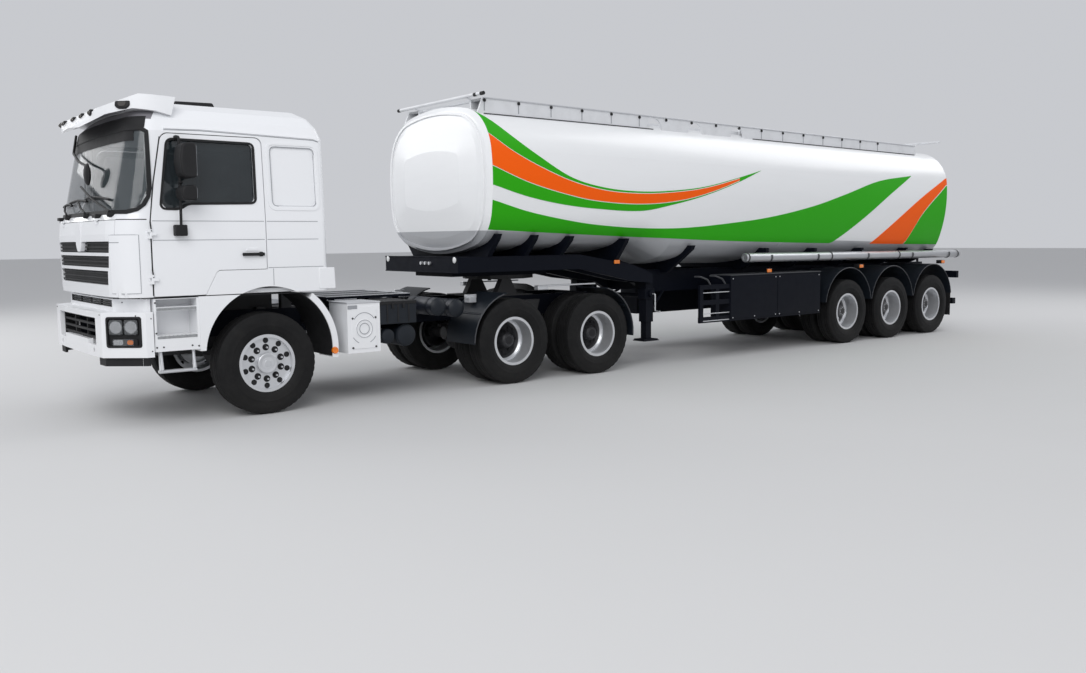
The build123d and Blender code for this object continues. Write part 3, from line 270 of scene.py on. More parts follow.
def tank_paint(name, colour, belly):
    """White gloss paint; below the livery's lower edge the silver belly, darkened by painted shade of the tank's
    underside.
    """
    f = Finish(name, Coat_Weight=0.45, Coat_Roughness=0.28)
    # mask of the belly: silver paint darkened with painted shade of the tank's underside
    under = f.between(f.along("Z") - 0.0255 * f.along("X"), 1.842, 1.838)
    streak = f.between(f.noise(2.0, 5.0, (0.6, 1, 6)), 0.45, 0.8)
    return f.look(f.mix(under, f.faded(streak * 0.10, colour, 0.86), rgba(belly)), 0.2 + 0.1 * f.noise(2.4, 3.0),
                  (f.noise(1.6, 2.0), 0.12, 0.004))


def tank_metal(name, dark, pale):
    """Dark paint on the air tanks behind, bare metal on the fuel tank ahead of them."""
    f = Finish(name)
    ahead = f.between(f.along("X"), AXLE_X - 2.06, AXLE_X - 2.05)
    stain = f.between(f.noise(6.0, 5.0), 0.45, 0.85)
    return f.look(f.mix(ahead, rgba(dark), f.faded(stain * 0.4, pale, 0.75)), 0.40 + 0.15 * stain,
                  (f.noise(90.0, 3.0), 0.05, 0.001), Metallic=0.8 * ahead)


def rim_with_shaded_dish(name, pale, dark, stations):
    """Bright lip round a darker disc and hub on the wheels at some stations; the disc's darkness is partly painted
    shade inside the wheel's dish.
    """
    f = Finish(name)
    x, up = f.along("X"), f.along("Z") - WHEEL_Z
    squares = [(x - station) * (x - station) for station in stations]
    nearest = squares[0]
    for square in squares[1:]:
        nearest = f.maths("MINIMUM", nearest, square)
    lip = f.between(nearest + up * up, 0.236**2, 0.242**2)
    stain = f.between(f.noise(9.0, 5.0), 0.4, 0.8)
    return f.look(f.mix(lip, rgba(dark), f.faded(stain * 0.4, pale, 0.75)), 0.45 - 0.12 * lip + 0.1 * stain,
                  (f.noise(60.0, 3.0), 0.05, 0.001), Metallic=0.7 * lip)


def frame_paint(name, colour, amount):
    f = Finish(name, Specular_IOR_Level=0.10)
    return f.look(f.dusty(colour, (0.035, 0.034, 0.034), 1.1, amount), 0.42 + 0.25 * f.noise(9.0, 4.0),
                  (f.noise(120.0, 3.0), 0.08, 0.002))


def moulded(name, colour, roughness=0.55, grain=420.0):
    f = Finish(name, Specular_IOR_Level=0.32)
    worn = f.between(f.noise(5.0, 6.0), 0.4, 0.8)
    return f.look(f.faded(worn * 0.35, colour, 1.6, 0.008), roughness + 0.12 * f.noise(14.0, 3.0),
                  (f.noise(grain, 2.0), 0.12, 0.0015))


def rubber(name, colour):
    f = Finish(name, Specular_IOR_Level=0.28)
    cloud = f.between(f.noise(7.0, 6.0), 0.42, 0.78)
    low = f.between(f.along("Z"), 0.45, 0.0)
    return f.look(f.mix(cloud * 0.10 + low * 0.16, rgba(colour), rgba((0.055, 0.052, 0.048))),
                  0.66 + 0.16 * f.noise(22.0, 4.0), (f.noise(180.0, 4.0), 0.12, 0.002))


def bare_metal(name, colour, roughness, metallic, stretch=(1, 1, 1)):
    f = Finish(name)
    stain = f.between(f.noise(6.0, 5.0), 0.45, 0.85)
    return f.look(f.faded(stain * 0.5, colour, 0.72), roughness + 0.18 * f.noise(60.0, 4.0, stretch),
                  (f.noise(120.0, 3.0, stretch), 0.06, 0.001), Metallic=metallic - 0.25 * stain)


def tinted(name, colour, alpha):
    """Glass or a clear lens; its film of dust makes it denser in patches."""
    f = Finish(name, Specular_IOR_Level=0.8)
    film = f.between(f.noise(3.0, 4.0), 0.4, 0.9)
    f.material.surface_render_method = "BLENDED"
    return f.look(f.faded(film * 0.3, colour, 1.3, 0.02), 0.03 + 0.05 * film, Alpha=alpha + 0.06 * film)


def lamp_lens(name, colour):
    """Ribbed coloured lens."""
    f = Finish(name, Coat_Weight=0.8, Coat_Roughness=0.05)
    ribs = f.waves("Z", 55.0)
    return f.look(f.faded(ribs * 0.25, colour, 0.6), 0.16 + 0.1 * ribs, (ribs, 0.25, 0.002))


def woven(name, colour, threads):
    f = Finish(name)
    cloth = 0.5 * f.waves("X", threads) + 0.5 * f.waves("Z", threads)
    return f.look(f.faded(cloth * 0.3, colour, 1.7, 0.02), 0.8 + 0.12 * cloth, (cloth, 0.15, 0.001))


def tread_plate(name, colour):
    """Rolled plate with raised bars across it."""
    f = Finish(name)
    bars, worn = f.waves("DIAGONAL", 12.0), f.noise(40.0, 2.0)
    return f.look(f.faded(worn, colour, 0.7), 0.35 + 0.25 * worn, (f.between(bars, 0.6, 0.8), 0.5, 0.003),
                  Metallic=0.7 + 0.2 * worn)


# ---------------------------------------------------------------- mesh helpers
class Form:
    """Corners and faces of one piece, gathered before it becomes a mesh."""

    def __init__(self, x=0.0, side=1):
        self.points, self.faces = [], []
        self.at(x, side)

    def at(self, x, side=1):
        """What is added next is moved to a station, and mirrored for side -1."""
        self.x, self.side = x, side
        return self

    def add(self, points, faces):
        start = len(self.points)
        self.points.extend(placed(points, self.x, self.side))
        self.faces.extend(tuple(start + i for i in face) for face in faces)
        return self

    def box(self, x, y, z):
        """Box between two values along each axis."""
        corners = [(a, b, c) for a in sorted(x) for b in sorted(y) for c in sorted(z)]
        faces = [(0, 1, 3, 2), (4, 6, 7, 5), (0, 4, 5, 1), (2, 3, 7, 6), (0, 2, 6, 4), (1, 5, 7, 3)]
        return self.add(corners, faces)

    def prism(self, outline, span, axis):
        """Outline drawn across an axis and stretched along it."""
        return self.skin([[turned(axis, u, v, w) for u, v in outline] for w in sorted(span)])

    def lathe(self, profile, centre, steps, axis="Y"):
        """Profile of (along, radius) turned about an axis through centre; radius 0 closes an end."""
        rings = []
        for along, radius in profile:
            ring = circle(0, 0, radius, steps) if radius > 0 else [(0, 0)]
            rings.append([[c + shift for c, shift in zip(centre, turned(axis, u, v, along))] for u, v in ring])
        return self.skin(rings)

    def skin(self, rings, closed=False):
        """Faces between rings of points; a ring of one point is a tip."""
        places, faces, count = [], [], 0
        for ring in rings:
            places.append(range(count, count + len(ring)))
            count += len(ring)
        for a, b in zip(places, places[1:] + places[:1] if closed else places[1:]):
            n = max(len(a), len(b))
            for i in range(n):
                j = (i + 1) % n
                if len(a) == 1:
                    faces.append((a[0], b[i], b[j]))
                elif len(b) == 1:
                    faces.append((a[i], a[j], b[0]))
                else:
                    faces.append((a[i], a[j], b[j], b[i]))
        if not closed:
            faces += [tuple(ring) for ring in (places[0], places[-1]) if len(ring) > 2]
        return self.add([p for ring in rings for p in ring], faces)

    def strip(self, hits, width, height, closed=False, sink=0.004):
        """Flat band laid along a path of surface points and normals."""
        rings, last = [], len(hits) - 1
        for i, (point, normal) in enumerate(hits):
            before = hits[i - 1][0] if i or closed else point
            after = hits[(i + 1) % len(hits)][0] if i < last or closed else point
            across = (after - before).normalized().cross(normal).normalized() * (width / 2)
            up = normal.normalized()
            base, top = point - up * sink, point + up * height
            rings.append([base - across, base + across, top + across * STRIP_TOP, top - across * STRIP_TOP])
        return self.skin(rings, closed)

    def sheets(self, first, second, rows, cols):
        """Two grids of points, closed round their rims."""
        count, faces = rows * cols, []
        for i in range(rows - 1):
            for j in range(cols - 1):
                a, d = i * cols + j, (i + 1) * cols + j
                faces += [(a, a + 1, d + 1, d), (count + d, count + d + 1, count + a + 1, count + a)]
        rim = [i * cols + j for i, j in grid_rim(rows, cols)]
        faces += [(b, a, count + a, count + b) for a, b in zip(rim, rim[1:] + rim[:1])]
        return self.add([*first, *second], faces)

    def plate(self, rows, thickness):
        """Thin sheet over rows of surface points and normals, closed at its rim."""
        top, low = ([p + n * lift for row in rows for p, n in row] for lift in (thickness, -thickness))
        return self.sheets(top, low, len(rows), len(rows[0]))

    def make(self, name, body, finish, slot, bevel=0.0, replaces=(), angle=35.0):
        """Turns the gathered form into a piece that rides on a body."""
        mesh = bpy.data.meshes.new(name)
        mesh.from_pydata(self.points, [], self.faces)
        shape = bmesh.new()
        shape.from_mesh(mesh)
        bmesh.ops.remove_doubles(shape, verts=shape.verts, dist=MERGE)
        bmesh.ops.recalc_face_normals(shape, faces=shape.faces)
        shape.to_mesh(mesh)
        shape.free()
        mesh.materials.append(FINISHES[finish])
        piece = bpy.data.objects.new(name, mesh)
        bpy.context.scene.collection.objects.link(piece)
        if bevel:
            edge = piece.modifiers.new("Edges", "BEVEL")
            edge.width, edge.segments = bevel, 2
            edge.limit_method, edge.angle_limit = "ANGLE", math.radians(40)
        return settle(piece, body, slot, replaces, angle)


def settle(piece, body, slot, replaces=(), angle=35.0):
    """Smooth faces with sharp edges; the piece then rides on its body and hides the nodes it replaces."""
    piece.data.polygons.foreach_set("use_smooth", [True] * len(piece.data.polygons))
    piece.data.set_sharp_from_angle(angle=math.radians(angle))
    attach(piece, body)
    if replaces:
        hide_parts(*replaces)
    return piece


class Skin:
    """Outer surface of some CAD nodes, which trim is laid on; a hit is a point and its outward normal."""

    def __init__(self, *names):
        points, faces = [], []
        for name in names:
            mesh, start = NODES[name].data, len(points)
            points.extend(v.co.copy() for v in mesh.vertices)
            faces.extend(tuple(start + i for i in p.vertices) for p in mesh.polygons)
        self.tree = BVHTree.FromPolygons(points, faces)

    def meet(self, start, towards):
        """Where a ray first meets the surface, or None."""
        direction = Vector(towards).normalized()
        point, normal = self.tree.ray_cast(Vector(start), direction)[:2]
        if point is None:
            return None
        return point, (-normal if normal.dot(direction) > 0 else normal)

    def nearest(self, point, outwards):
        """Closest surface point, with its normal turned towards a side."""
        place, normal = self.tree.find_nearest(Vector(point))[:2]
        return place, (normal if normal.dot(Vector(outwards)) >= 0 else -normal)

    def from_side(self, x, z, side):
        return self.meet((x, side * 3.0, z), (0, -side, 0))

    def from_front(self, y, z):
        return self.meet((9.0, y, z), (-1, 0, 0))

    def inwards(self, turn, centre, reach, side=1):
        """Where a level ray at an angle from straight ahead comes in to an upright line."""
        out = Vector((math.cos(math.radians(turn)), side * math.sin(math.radians(turn)), 0))
        return self.meet(Vector(centre) + out * reach, -out)

    def around(self, turn, z):
        return self.inwards(turn, (AXLE_X + 0.30, 0, z), 3.0)

    def corner(self, turn, z, side):
        return self.inwards(turn, (AXLE_X + 1.180, side * 0.960, z), 2.0, side)

    def rows(self, turns, heights):
        return [[self.around(turn, z) for turn in turns] for z in heights]

    def path(self, pairs, side):
        """Hits on the cab's side, from stations behind or ahead of the axle and heights."""
        return [hit for hit in (self.from_side(AXLE_X + x, z, side) for x, z in pairs) if hit]


# ---------------------------------------------------------------- geometry nodes
class Grower:
    """A Geometry Nodes tree that grows a piece on points or paths."""

    def __init__(self, name, inputs):
        self.tree = bpy.data.node_groups.new(name, "GeometryNodeTree")
        face = self.tree.interface
        kinds = [("Geometry", "Geometry"), *inputs.items(), ("Finish", "Material")]
        for label, kind in kinds:
            face.new_socket(label, in_out="INPUT", socket_type="NodeSocket" + kind)
        face.new_socket("Geometry", in_out="OUTPUT", socket_type="NodeSocketGeometry")
        self.given = self.tree.nodes.new("NodeGroupInput").outputs

    def node(self, kind, settings, links):
        """Adds one node; a link is a socket, the name of one of the tree's inputs or a value."""
        made = self.tree.nodes.new(kind)
        for key, value in settings.items():
            setattr(made, key, value)
        for key, value in links.items():
            if isinstance(value, str) and value in self.given:
                value = self.given[value]
            if isinstance(value, bpy.types.NodeSocket):
                self.tree.links.new(value, made.inputs[key])
            else:
                made.inputs[key].default_value = value
        return made.outputs[0]

    def end(self, geometry):
        """Realizes the copies and gives them their finish."""
        real = self.node("GeometryNodeRealizeInstances", {}, {0: geometry})
        shaded = self.node("GeometryNodeSetMaterial", {}, {"Geometry": real, "Material": "Finish"})
        out = self.tree.nodes.new("NodeGroupOutput")
        self.tree.links.new(shaded, out.inputs[0])
        return self

    def grow(self, name, body, seed, finish, slot, **values):
        """Runs the tree on a seed mesh and keeps the result as a plain mesh."""
        piece = bpy.data.objects.new(name, seed)
        bpy.context.scene.collection.objects.link(piece)
        modifier = piece.modifiers.new("Grow", "NODES")
        modifier.node_group = self.tree
        values["Finish"] = FINISHES[finish]
        for item in self.tree.interface.items_tree:
            if item.in_out == "INPUT" and item.name in values:
                modifier[item.identifier] = values[item.name]
        grown = piece.evaluated_get(bpy.context.evaluated_depsgraph_get())
        mesh = bpy.data.meshes.new_from_object(grown)
        piece.modifiers.remove(modifier)
        piece.data = mesh
        return settle(piece, body, slot)


def stud_grower():
    """Round or six-sided heads, one on each point, standing along its facing."""
    g = Grower("Studs", {"Radius": "Float", "Height": "Float", "Sides": "Int"})
    head = g.node("GeometryNodeMeshCylinder", {}, {"Vertices": "Sides", "Radius": "Radius", "Depth": "Height"})
    facing = g.node("GeometryNodeInputNamedAttribute", {"data_type": "FLOAT_VECTOR"}, {"Name": "facing"})
    turn = g.node("FunctionNodeAlignRotationToVector", {"axis": "Z"}, {"Vector": facing})
    links = {"Points": "Geometry", "Instance": head, "Rotation": turn}
    return g.end(g.node("GeometryNodeInstanceOnPoints", {}, links))


def pipe_grower():
    """Round bars along paths, with rounded bends."""
    g = Grower("Pipes", {"Radius": "Float", "Bend": "Float", "Sides": "Int"})
    path = g.node("GeometryNodeMeshToCurve", {}, {0: "Geometry"})
    bent = g.node("GeometryNodeFilletCurve", {"mode": "POLY"},
                  {"Curve": path, "Count": 5, "Radius": "Bend", "Limit Radius": True})
    ring = g.node("GeometryNodeCurvePrimitiveCircle", {"mode": "RADIUS"}, {"Resolution": "Sides", "Radius": "Radius"})
    return g.end(g.node("GeometryNodeCurveToMesh", {}, {"Curve": bent, "Profile Curve": ring, "Fill Caps": True}))


def slat_grower():
    """A row of equal bars: where it starts, the step between bars and a bar's size."""
    g = Grower("Slats", {"Count": "Int", "Start": "Vector", "Step": "Vector", "Size": "Vector"})
    row = g.node("GeometryNodeMeshLine", {"mode": "OFFSET"},
                 {"Count": "Count", "Start Location": "Start", "Offset": "Step"})
    bar = g.node("GeometryNodeMeshCube", {}, {"Size": "Size"})
    return g.end(g.node("GeometryNodeInstanceOnPoints", {}, {"Points": row, "Instance": bar}))


STUDS, PIPES, SLATS = stud_grower(), pipe_grower(), slat_grower()
FINISHES = {}


def studs(name, body, points, facing, radius, height, sides, finish, slot):
    """Like heads on one body; facing is one direction for all, or one for each."""
    each = facing if hasattr(facing[0], "__len__") else [facing] * len(points)
    seed = bpy.data.meshes.new("seed")
    seed.from_pydata([tuple(p) for p in points], [], [])
    held = seed.attributes.new("facing", "FLOAT_VECTOR", "POINT")
    held.data.foreach_set("vector", [c for f in each for c in f])
    return STUDS.grow(name, body, seed, finish, slot, Radius=radius, Height=height, Sides=sides)


def pipes(name, body, paths, radius, finish, slot, bend=0.0, sides=10):
    """Bars along polylines; a path whose ends are equal is closed."""
    points, edges = [], []
    for path in paths:
        start = len(points)
        loop = (Vector(path[0]) - Vector(path[-1])).length < 1e-6
        points.extend(tuple(p) for p in (path[:-1] if loop else path))
        edges += [(i, i + 1) for i in range(start, len(points) - 1)]
        if loop:
            edges.append((len(points) - 1, start))
    seed = bpy.data.meshes.new("seed")
    seed.from_pydata(points, edges, [])
    return PIPES.grow(name, body, seed, finish, slot, Radius=radius, Bend=bend, Sides=sides)


# ---------------------------------------------------------------- livery
def eased(table, x):
    """Smooth height at x through a table of (x, height) rows."""
    rows = sorted(table)
    if x <= rows[0][0]:
        return rows[0][1]
    if x >= rows[-1][0]:
        return rows[-1][1]
    i = max(k for k in range(len(rows) - 1) if rows[k][0] <= x)

    def slope(k):
        lo, hi = rows[max(k - 1, 0)], rows[min(k + 1, len(rows) - 1)]
        return (hi[1] - lo[1]) / (hi[0] - lo[0])

    (x0, a), (x1, b) = rows[i], rows[i + 1]
    h = x1 - x0
    t = (x - x0) / h
    return ((2 * t**3 - 3 * t**2 + 1) * a + (t**3 - 2 * t**2 + t) * slope(i) * h
            + (-2 * t**3 + 3 * t**2) * b + (t**3 - t**2) * slope(i + 1) * h)


# Livery edges on the tank's side: (station, height), metres, from the front rim back.
LIVERY = {
    "sweep_top": [(3.330, 3.399), (2.986, 3.097), (2.573, 2.844), (2.059, 2.601), (1.462, 2.484),
                  (0.827, 2.451), (0.221, 2.476), (-0.448, 2.547), (-1.164, 2.693), (-1.725, 2.825)],
    "sweep_upper": [(3.341, 3.121), (3.030, 2.923), (2.619, 2.741), (2.060, 2.558), (1.461, 2.453),
                    (0.826, 2.427), (0.221, 2.455), (-0.448, 2.531), (-1.164, 2.682), (-1.725, 2.825)],
    "sweep_lower": [(3.319, 2.714), (2.808, 2.536), (2.250, 2.406), (1.656, 2.314), (0.814, 2.281),
                    (0.060, 2.340), (-0.600, 2.475), (-1.263, 2.672), (-1.725, 2.825)],
    "sweep_bottom": [(3.317, 2.480), (2.804, 2.351), (2.240, 2.260), (1.645, 2.209), (0.801, 2.187),
                     (0.205, 2.278), (-0.454, 2.420), (-1.162, 2.625), (-1.725, 2.825)],
    "wave_top": [(3.311, 2.296), (2.789, 2.167), (2.214, 2.071), (1.599, 1.999), (0.731, 1.952),
                 (-0.083, 1.954), (-0.997, 2.017), (-1.980, 2.119), (-3.037, 2.300), (-3.895, 2.507),
                 (-4.841, 2.749), (-5.873, 2.875)],
    "wave_slant": [(-3.733, 1.705), (-4.061, 1.877), (-4.579, 2.172), (-5.172, 2.514), (-5.873, 2.868)],
    "belly": [(3.324, 1.938), (2.328, 1.895), (1.515, 1.861), (0.651, 1.827), (-1.105, 1.760),
              (-3.677, 1.699), (-7.040, 1.645)],
    "blade_front": [(-4.869, 1.679), (-5.586, 2.140), (-6.214, 2.495), (-7.040, 2.870)],
    "blade_rear": [(-5.934, 1.655), (-6.279, 2.184), (-7.040, 2.740)],
}
GAP = 0.010                    # bare line between two colours


def livery_band(form, skin, side, span, top, bottom, steps):
    """One colour band between two heights that depend on the station."""
    rows = []
    for x in spread(*span, steps):
        low = bottom(x)
        row = []
        for z in spread(low, max(top(x), low + 0.002), 18):
            point, normal = skin.from_side(x, z, side)
            row.append((point, Vector((0, normal.y, normal.z)).normalized()))
        rows.append(row)
    form.plate(rows, FILM)


# ---------------------------------------------------------------- settings
def colour_property(name, description, default):
    return bpy.props.FloatVectorProperty(
        name=name, description=description, default=default, subtype="COLOR", size=3, min=0.0, max=1.0
    )


def number_property(name, description, default, unit="NONE"):
    return bpy.props.FloatProperty(name=name, description=description, default=default, unit=unit)


class TankerColours(bpy.types.PropertyGroup):
    """Colours of the truck's finishes."""

    cab: colour_property("Cab", "White gloss paint of the cab, bumper and steps", (0.86, 0.87, 0.89))
    tank: colour_property("Tank", "White gloss paint of the tank", (0.86, 0.87, 0.88))
    # the belly's grey is its silver paint darkened with painted shade of the tank's underside
    belly: colour_property("Belly", "Silver paint under the tank", (0.40, 0.41, 0.43))
    green: colour_property("Green stripe", "Green of the livery", (0.026, 0.39, 0.003))
    orange: colour_property("Orange stripe", "Orange of the livery", (0.96, 0.118, 0.0))
    chassis: colour_property("Chassis", "Blue-black paint of both frames", (0.0035, 0.0048, 0.0095))
    tyre: colour_property("Tyre", "Tyre rubber", (0.0045, 0.0045, 0.0050))
    plastic: colour_property("Plastic", "Black moulded plastic", (0.010, 0.010, 0.011))


class TankerSizes(bpy.types.PropertyGroup):
    """Sizes of the fittings."""

    tread_depth: number_property("Tread depth", "Depth of the tyres' grooves", 0.012, "LENGTH")
    nut_radius: number_property("Wheel nut radius", "Half width of a wheel nut", 0.017, "LENGTH")
    seal_width: number_property("Windscreen seal", "Width of the rubber round the windscreen", 0.044, "LENGTH")


class TankerStage(bpy.types.PropertyGroup):
    """Floor and lamps."""

    floor: colour_property("Floor", "Pale floor", (0.60, 0.60, 0.60))
    key_power: number_property("Key lamp", "Strength of the key lamp", 2300.0)
    fill_power: number_property("Fill lamp", "Strength of the fill lamp", 900.0)
    sky: number_property("Sky", "Strength of the world's light", 0.62)


# ---------------------------------------------------------------- operators
class TANKER_OT_finishes(bpy.types.Operator):
    """Makes the finishes and gives each CAD node its own"""

    bl_idname = "tanker.finishes"
    bl_label = "Finishes"

    def execute(self, context):
        c = context.scene.tanker_colours
        pale_rim = (0.72, 0.73, 0.75)
        FINISHES.update(
            cab=gloss_paint("cab_gloss", c.cab),
            lined=gloss_paint("cab_gloss_lined", c.cab, (0.030, 0.031, 0.034), cab_lining, 0.4),
            fender=gloss_paint("cab_gloss_fender", c.cab, (0.012, 0.012, 0.013), fender_lining, 0.3),
            tank=tank_paint("tank_gloss", c.tank, c.belly),
            green=stripe_paint("livery_green", c.green),
            orange=stripe_paint("livery_orange", c.orange),
            chassis=frame_paint("frame_blue_black", c.chassis, 0.21),
            hub=frame_paint("hub_dark", (0.028, 0.028, 0.030), 0.18),
            guard=moulded("guard_black", (0.007, 0.010, 0.015), 0.42, 90.0),
            plastic=moulded("moulded_black", c.plastic),
            seal=moulded("rubber_seal", (0.012, 0.012, 0.013), 0.6),
            line=moulded("panel_shadow", (0.30, 0.31, 0.33), 0.5),
            bead=moulded("edge_grey", (0.05, 0.052, 0.058), 0.4),
            # grey for the visor's underside, lining with painted shade, and for the cab's header under it, painted
            # shade only
            visor_under=moulded("visor_lining_and_shade", (0.17, 0.165, 0.18), 0.5),
            lining=moulded("dash_grey", (0.055, 0.055, 0.058), 0.7, 300.0),
            tyre=rubber("tyre_rubber", c.tyre),
            # rims whose dark discs are partly painted shade in the wheels' dishes
            drive_rim=rim_with_shaded_dish("wheel_lip_and_shaded_dish", pale_rim, (0.022, 0.022, 0.024), DRIVE_X),
            trailer_rim=rim_with_shaded_dish("wheel_grey_shaded_dish", pale_rim, (0.12, 0.12, 0.125), TRAILER_X),
            tanks=tank_metal("tank_two_tone", (0.016, 0.019, 0.028), (0.60, 0.61, 0.63)),
            rim=bare_metal("wheel_silver", (0.70, 0.71, 0.73), 0.30, 0.75),
            dull_rim=bare_metal("wheel_grey", (0.62, 0.63, 0.65), 0.34, 0.6),
            cast=bare_metal("cast_iron_dark", (0.06, 0.06, 0.062), 0.55, 0.5),
            walk=bare_metal("walkway_grey", (0.74, 0.75, 0.77), 0.5, 0.25, (1, 1, 4)),
            steel=bare_metal("galvanised_steel", (0.66, 0.67, 0.69), 0.38, 0.8, (1, 1, 4)),
            chrome=bare_metal("bright_chrome", (0.85, 0.86, 0.88), 0.06, 1.0),
            tube=bare_metal("tube_aluminium", (0.50, 0.51, 0.53), 0.26, 0.75, (0.2, 1, 1)),
            mirror=bare_metal("mirror_face", (0.72, 0.75, 0.78), 0.03, 1.0),
            glass=tinted("window_glass", (0.020, 0.027, 0.031), 0.70),
            screen=tinted("screen_glass", (0.10, 0.12, 0.13), 0.34),
            lens=tinted("clear_lens", (0.20, 0.21, 0.22), 0.20),
            amber=lamp_lens("amber_lens", (0.90, 0.22, 0.01)),
            red=lamp_lens("red_lens", (0.55, 0.012, 0.010)),
            white_lens=lamp_lens("white_lens", (0.85, 0.86, 0.86)),
            smoke=lamp_lens("smoked_lens", (0.05, 0.045, 0.04)),
            cloth=woven("seat_cloth", (0.030, 0.030, 0.034), 75.0),
            bedding=woven("bunk_cloth", (0.11, 0.10, 0.095), 150.0),
            plate=tread_plate("tread_plate", (0.42, 0.43, 0.44)),
        )
        dress = {
            "cab": ["sun_visor", "front_flap", "front_bumper", "toolbox"],
            "fender": ["steps_fenders"],
            "lined": ["cab_shell", "door_left", "door_right"],
            "tank": ["tank"],
            "chassis": ["tractor_frame", "trailer_frame", "landing_legs", "rear_end", "side_lockers"],
            "guard": ["tandem_guards", "trailer_guards", "battery_box"],
            "plastic": ["bumper_grilles", "grille", "headlamps", "mirrors_left", "mirrors_right"],
            "cast": ["tractor_axles", "tractor_springs", "engine_block", "fifth_wheel", "trailer_axles",
                     "knuckle_left", "knuckle_right"],
            "tanks": ["tractor_tanks"],
            "walk": ["walkway"],
            "tube": ["hose_tubes"],
            "glass": ["door_glass_left", "door_glass_right"],
            "screen": ["windscreen"],
            "rim": ["front_rim_left", "front_rim_right"],
            "drive_rim": [n for n in NODES if n.startswith("drive_rims")],
            "trailer_rim": [n for n in NODES if n.startswith("trailer_rims")],
            "tyre": [n for n in NODES if "tyre" in n],
            "lining": ["cab_interior"],
        }
        for finish, names in dress.items():
            for name in names:
                NODES[name].data.materials.clear()
                NODES[name].data.materials.append(FINISHES[finish])
        return {"FINISHED"}


class TANKER_OT_livery(bpy.types.Operator):
    """Lays the green and orange bands on both sides of the tank"""

    bl_idname = "tanker.livery"
    bl_label = "Livery"

    def execute(self, context):
        skin = Skin("tank")

        def edge(name, rise=0.0):
            return lambda x: eased(LIVERY[name], x) + rise

        def wave_bottom(x):
            return edge("wave_slant" if x < LIVERY["wave_slant"][0][0] else "belly")(x)

        def blade_bottom(x):
            return edge("belly")(x) if x > LIVERY["blade_rear"][0][0] else edge("blade_rear", GAP)(x)

        rim, split, tip, rear = 3.322, -1.215, -1.715, -7.062
        bands = (
            ("green", (rim, split), edge("sweep_top"), edge("sweep_upper", 0.004), 64),
            ("orange", (rim, split), edge("sweep_upper", -0.006), edge("sweep_lower", 0.004), 64),
            ("green", (rim, split), edge("sweep_lower", -0.006), edge("sweep_bottom"), 64),
            ("green", (split + 0.004, tip), edge("sweep_top"), edge("sweep_bottom"), 16),
            ("green", (rim, -5.865), edge("wave_top"), wave_bottom, 130),
            ("orange", (-4.875, rear), edge("blade_front"), blade_bottom, 40),
            ("green", (-5.950, rear), edge("blade_rear", -GAP), edge("belly"), 30),
        )
        for colour in ("green", "orange"):
            form = Form()
            for name, side in SIDES:
                for band in bands:
                    if band[0] == colour:
                        livery_band(form, skin, side, *band[1:])
            form.make("livery_" + colour, "trailer", colour, "tank", angle=50)
        return {"FINISHED"}


# Half section of a tyre, (across, radius): sidewall, shoulder and the middles of the grooves.
SIDEWALL = [
    (0.1027, 0.2865), (0.1130, 0.3063), (0.1225, 0.3200), (0.1400, 0.3460), (0.1455, 0.3700),
    (0.1470, 0.3960), (0.1480, 0.3985), (0.1480, 0.4030), (0.1470, 0.4055), (0.1460, 0.4350),
    (0.1425, 0.4650), (0.1370, 0.4900), (0.1350, 0.4930), (0.1310, 0.5060),
]
SHOULDER = [(0.1270, 0.5200), (0.1180, 0.5340), (0.0980, 0.5390)]
GROOVES = [0.074, 0.036]


def add_tyre(form, y, steps, lugs, depth):
    """One tyre with sidewall rings, rib grooves and a cut in its shoulders at every lug."""
    half = [(a, r, 0.0) for a, r in SIDEWALL] + [(a, r, 0.4 * depth) for a, r in SHOULDER]
    half += [(middle + shift, TYRE_RADIUS - low, 0.0) for middle in GROOVES
             for shift, low in ((0.0060, 0), (0.0045, depth), (-0.0045, depth), (-0.0060, 0))]
    rows = half + [(-a, r, cut) for a, r, cut in reversed(half)]
    rings = []
    for i in range(steps):
        turn = 2 * math.pi * i / steps
        radii = [r - (cut if i % lugs == 0 else 0.0) for a, r, cut in rows]
        rings.append([(r * math.cos(turn), y + row[0], WHEEL_Z + r * math.sin(turn)) for r, row in zip(radii, rows)])
    form.skin(rings, closed=True)


class TANKER_OT_tyres(bpy.types.Operator):
    """Tyres with ribs, shoulder lugs and sidewall rings in place of the plain ones"""

    bl_idname = "tanker.tyres"
    bl_label = "Tyres"

    def execute(self, context):
        depth = context.scene.tanker_sizes.tread_depth
        for name, side in SIDES:
            wheels = [("front", "", "tyre", AXLE_X, (FRONT_TRACK,), 144, 3)]
            for kind, stations, track, steps, lugs in (("drive", DRIVE_X, DRIVE_TRACK, 120, 3),
                                                       ("trailer", TRAILER_X, TRAILER_TRACK, 96, 4)):
                wheels += [(kind, "%d_" % number, "tyres", x, (track - TWIN, track + TWIN), steps, lugs)
                           for number, x in enumerate(stations, start=1)]
            for kind, number, word, x, places, steps, lugs in wheels:
                form, key = Form(x, side), number + name
                for y in places:
                    add_tyre(form, y, steps, lugs, depth)
                form.make("tread_%s_%s" % (kind, key), "%s_wheel_%s" % (kind, key), "tyre", "tyre",
                          replaces=["%s_%s_%s" % (kind, word, key)], angle=28)
        return {"FINISHED"}


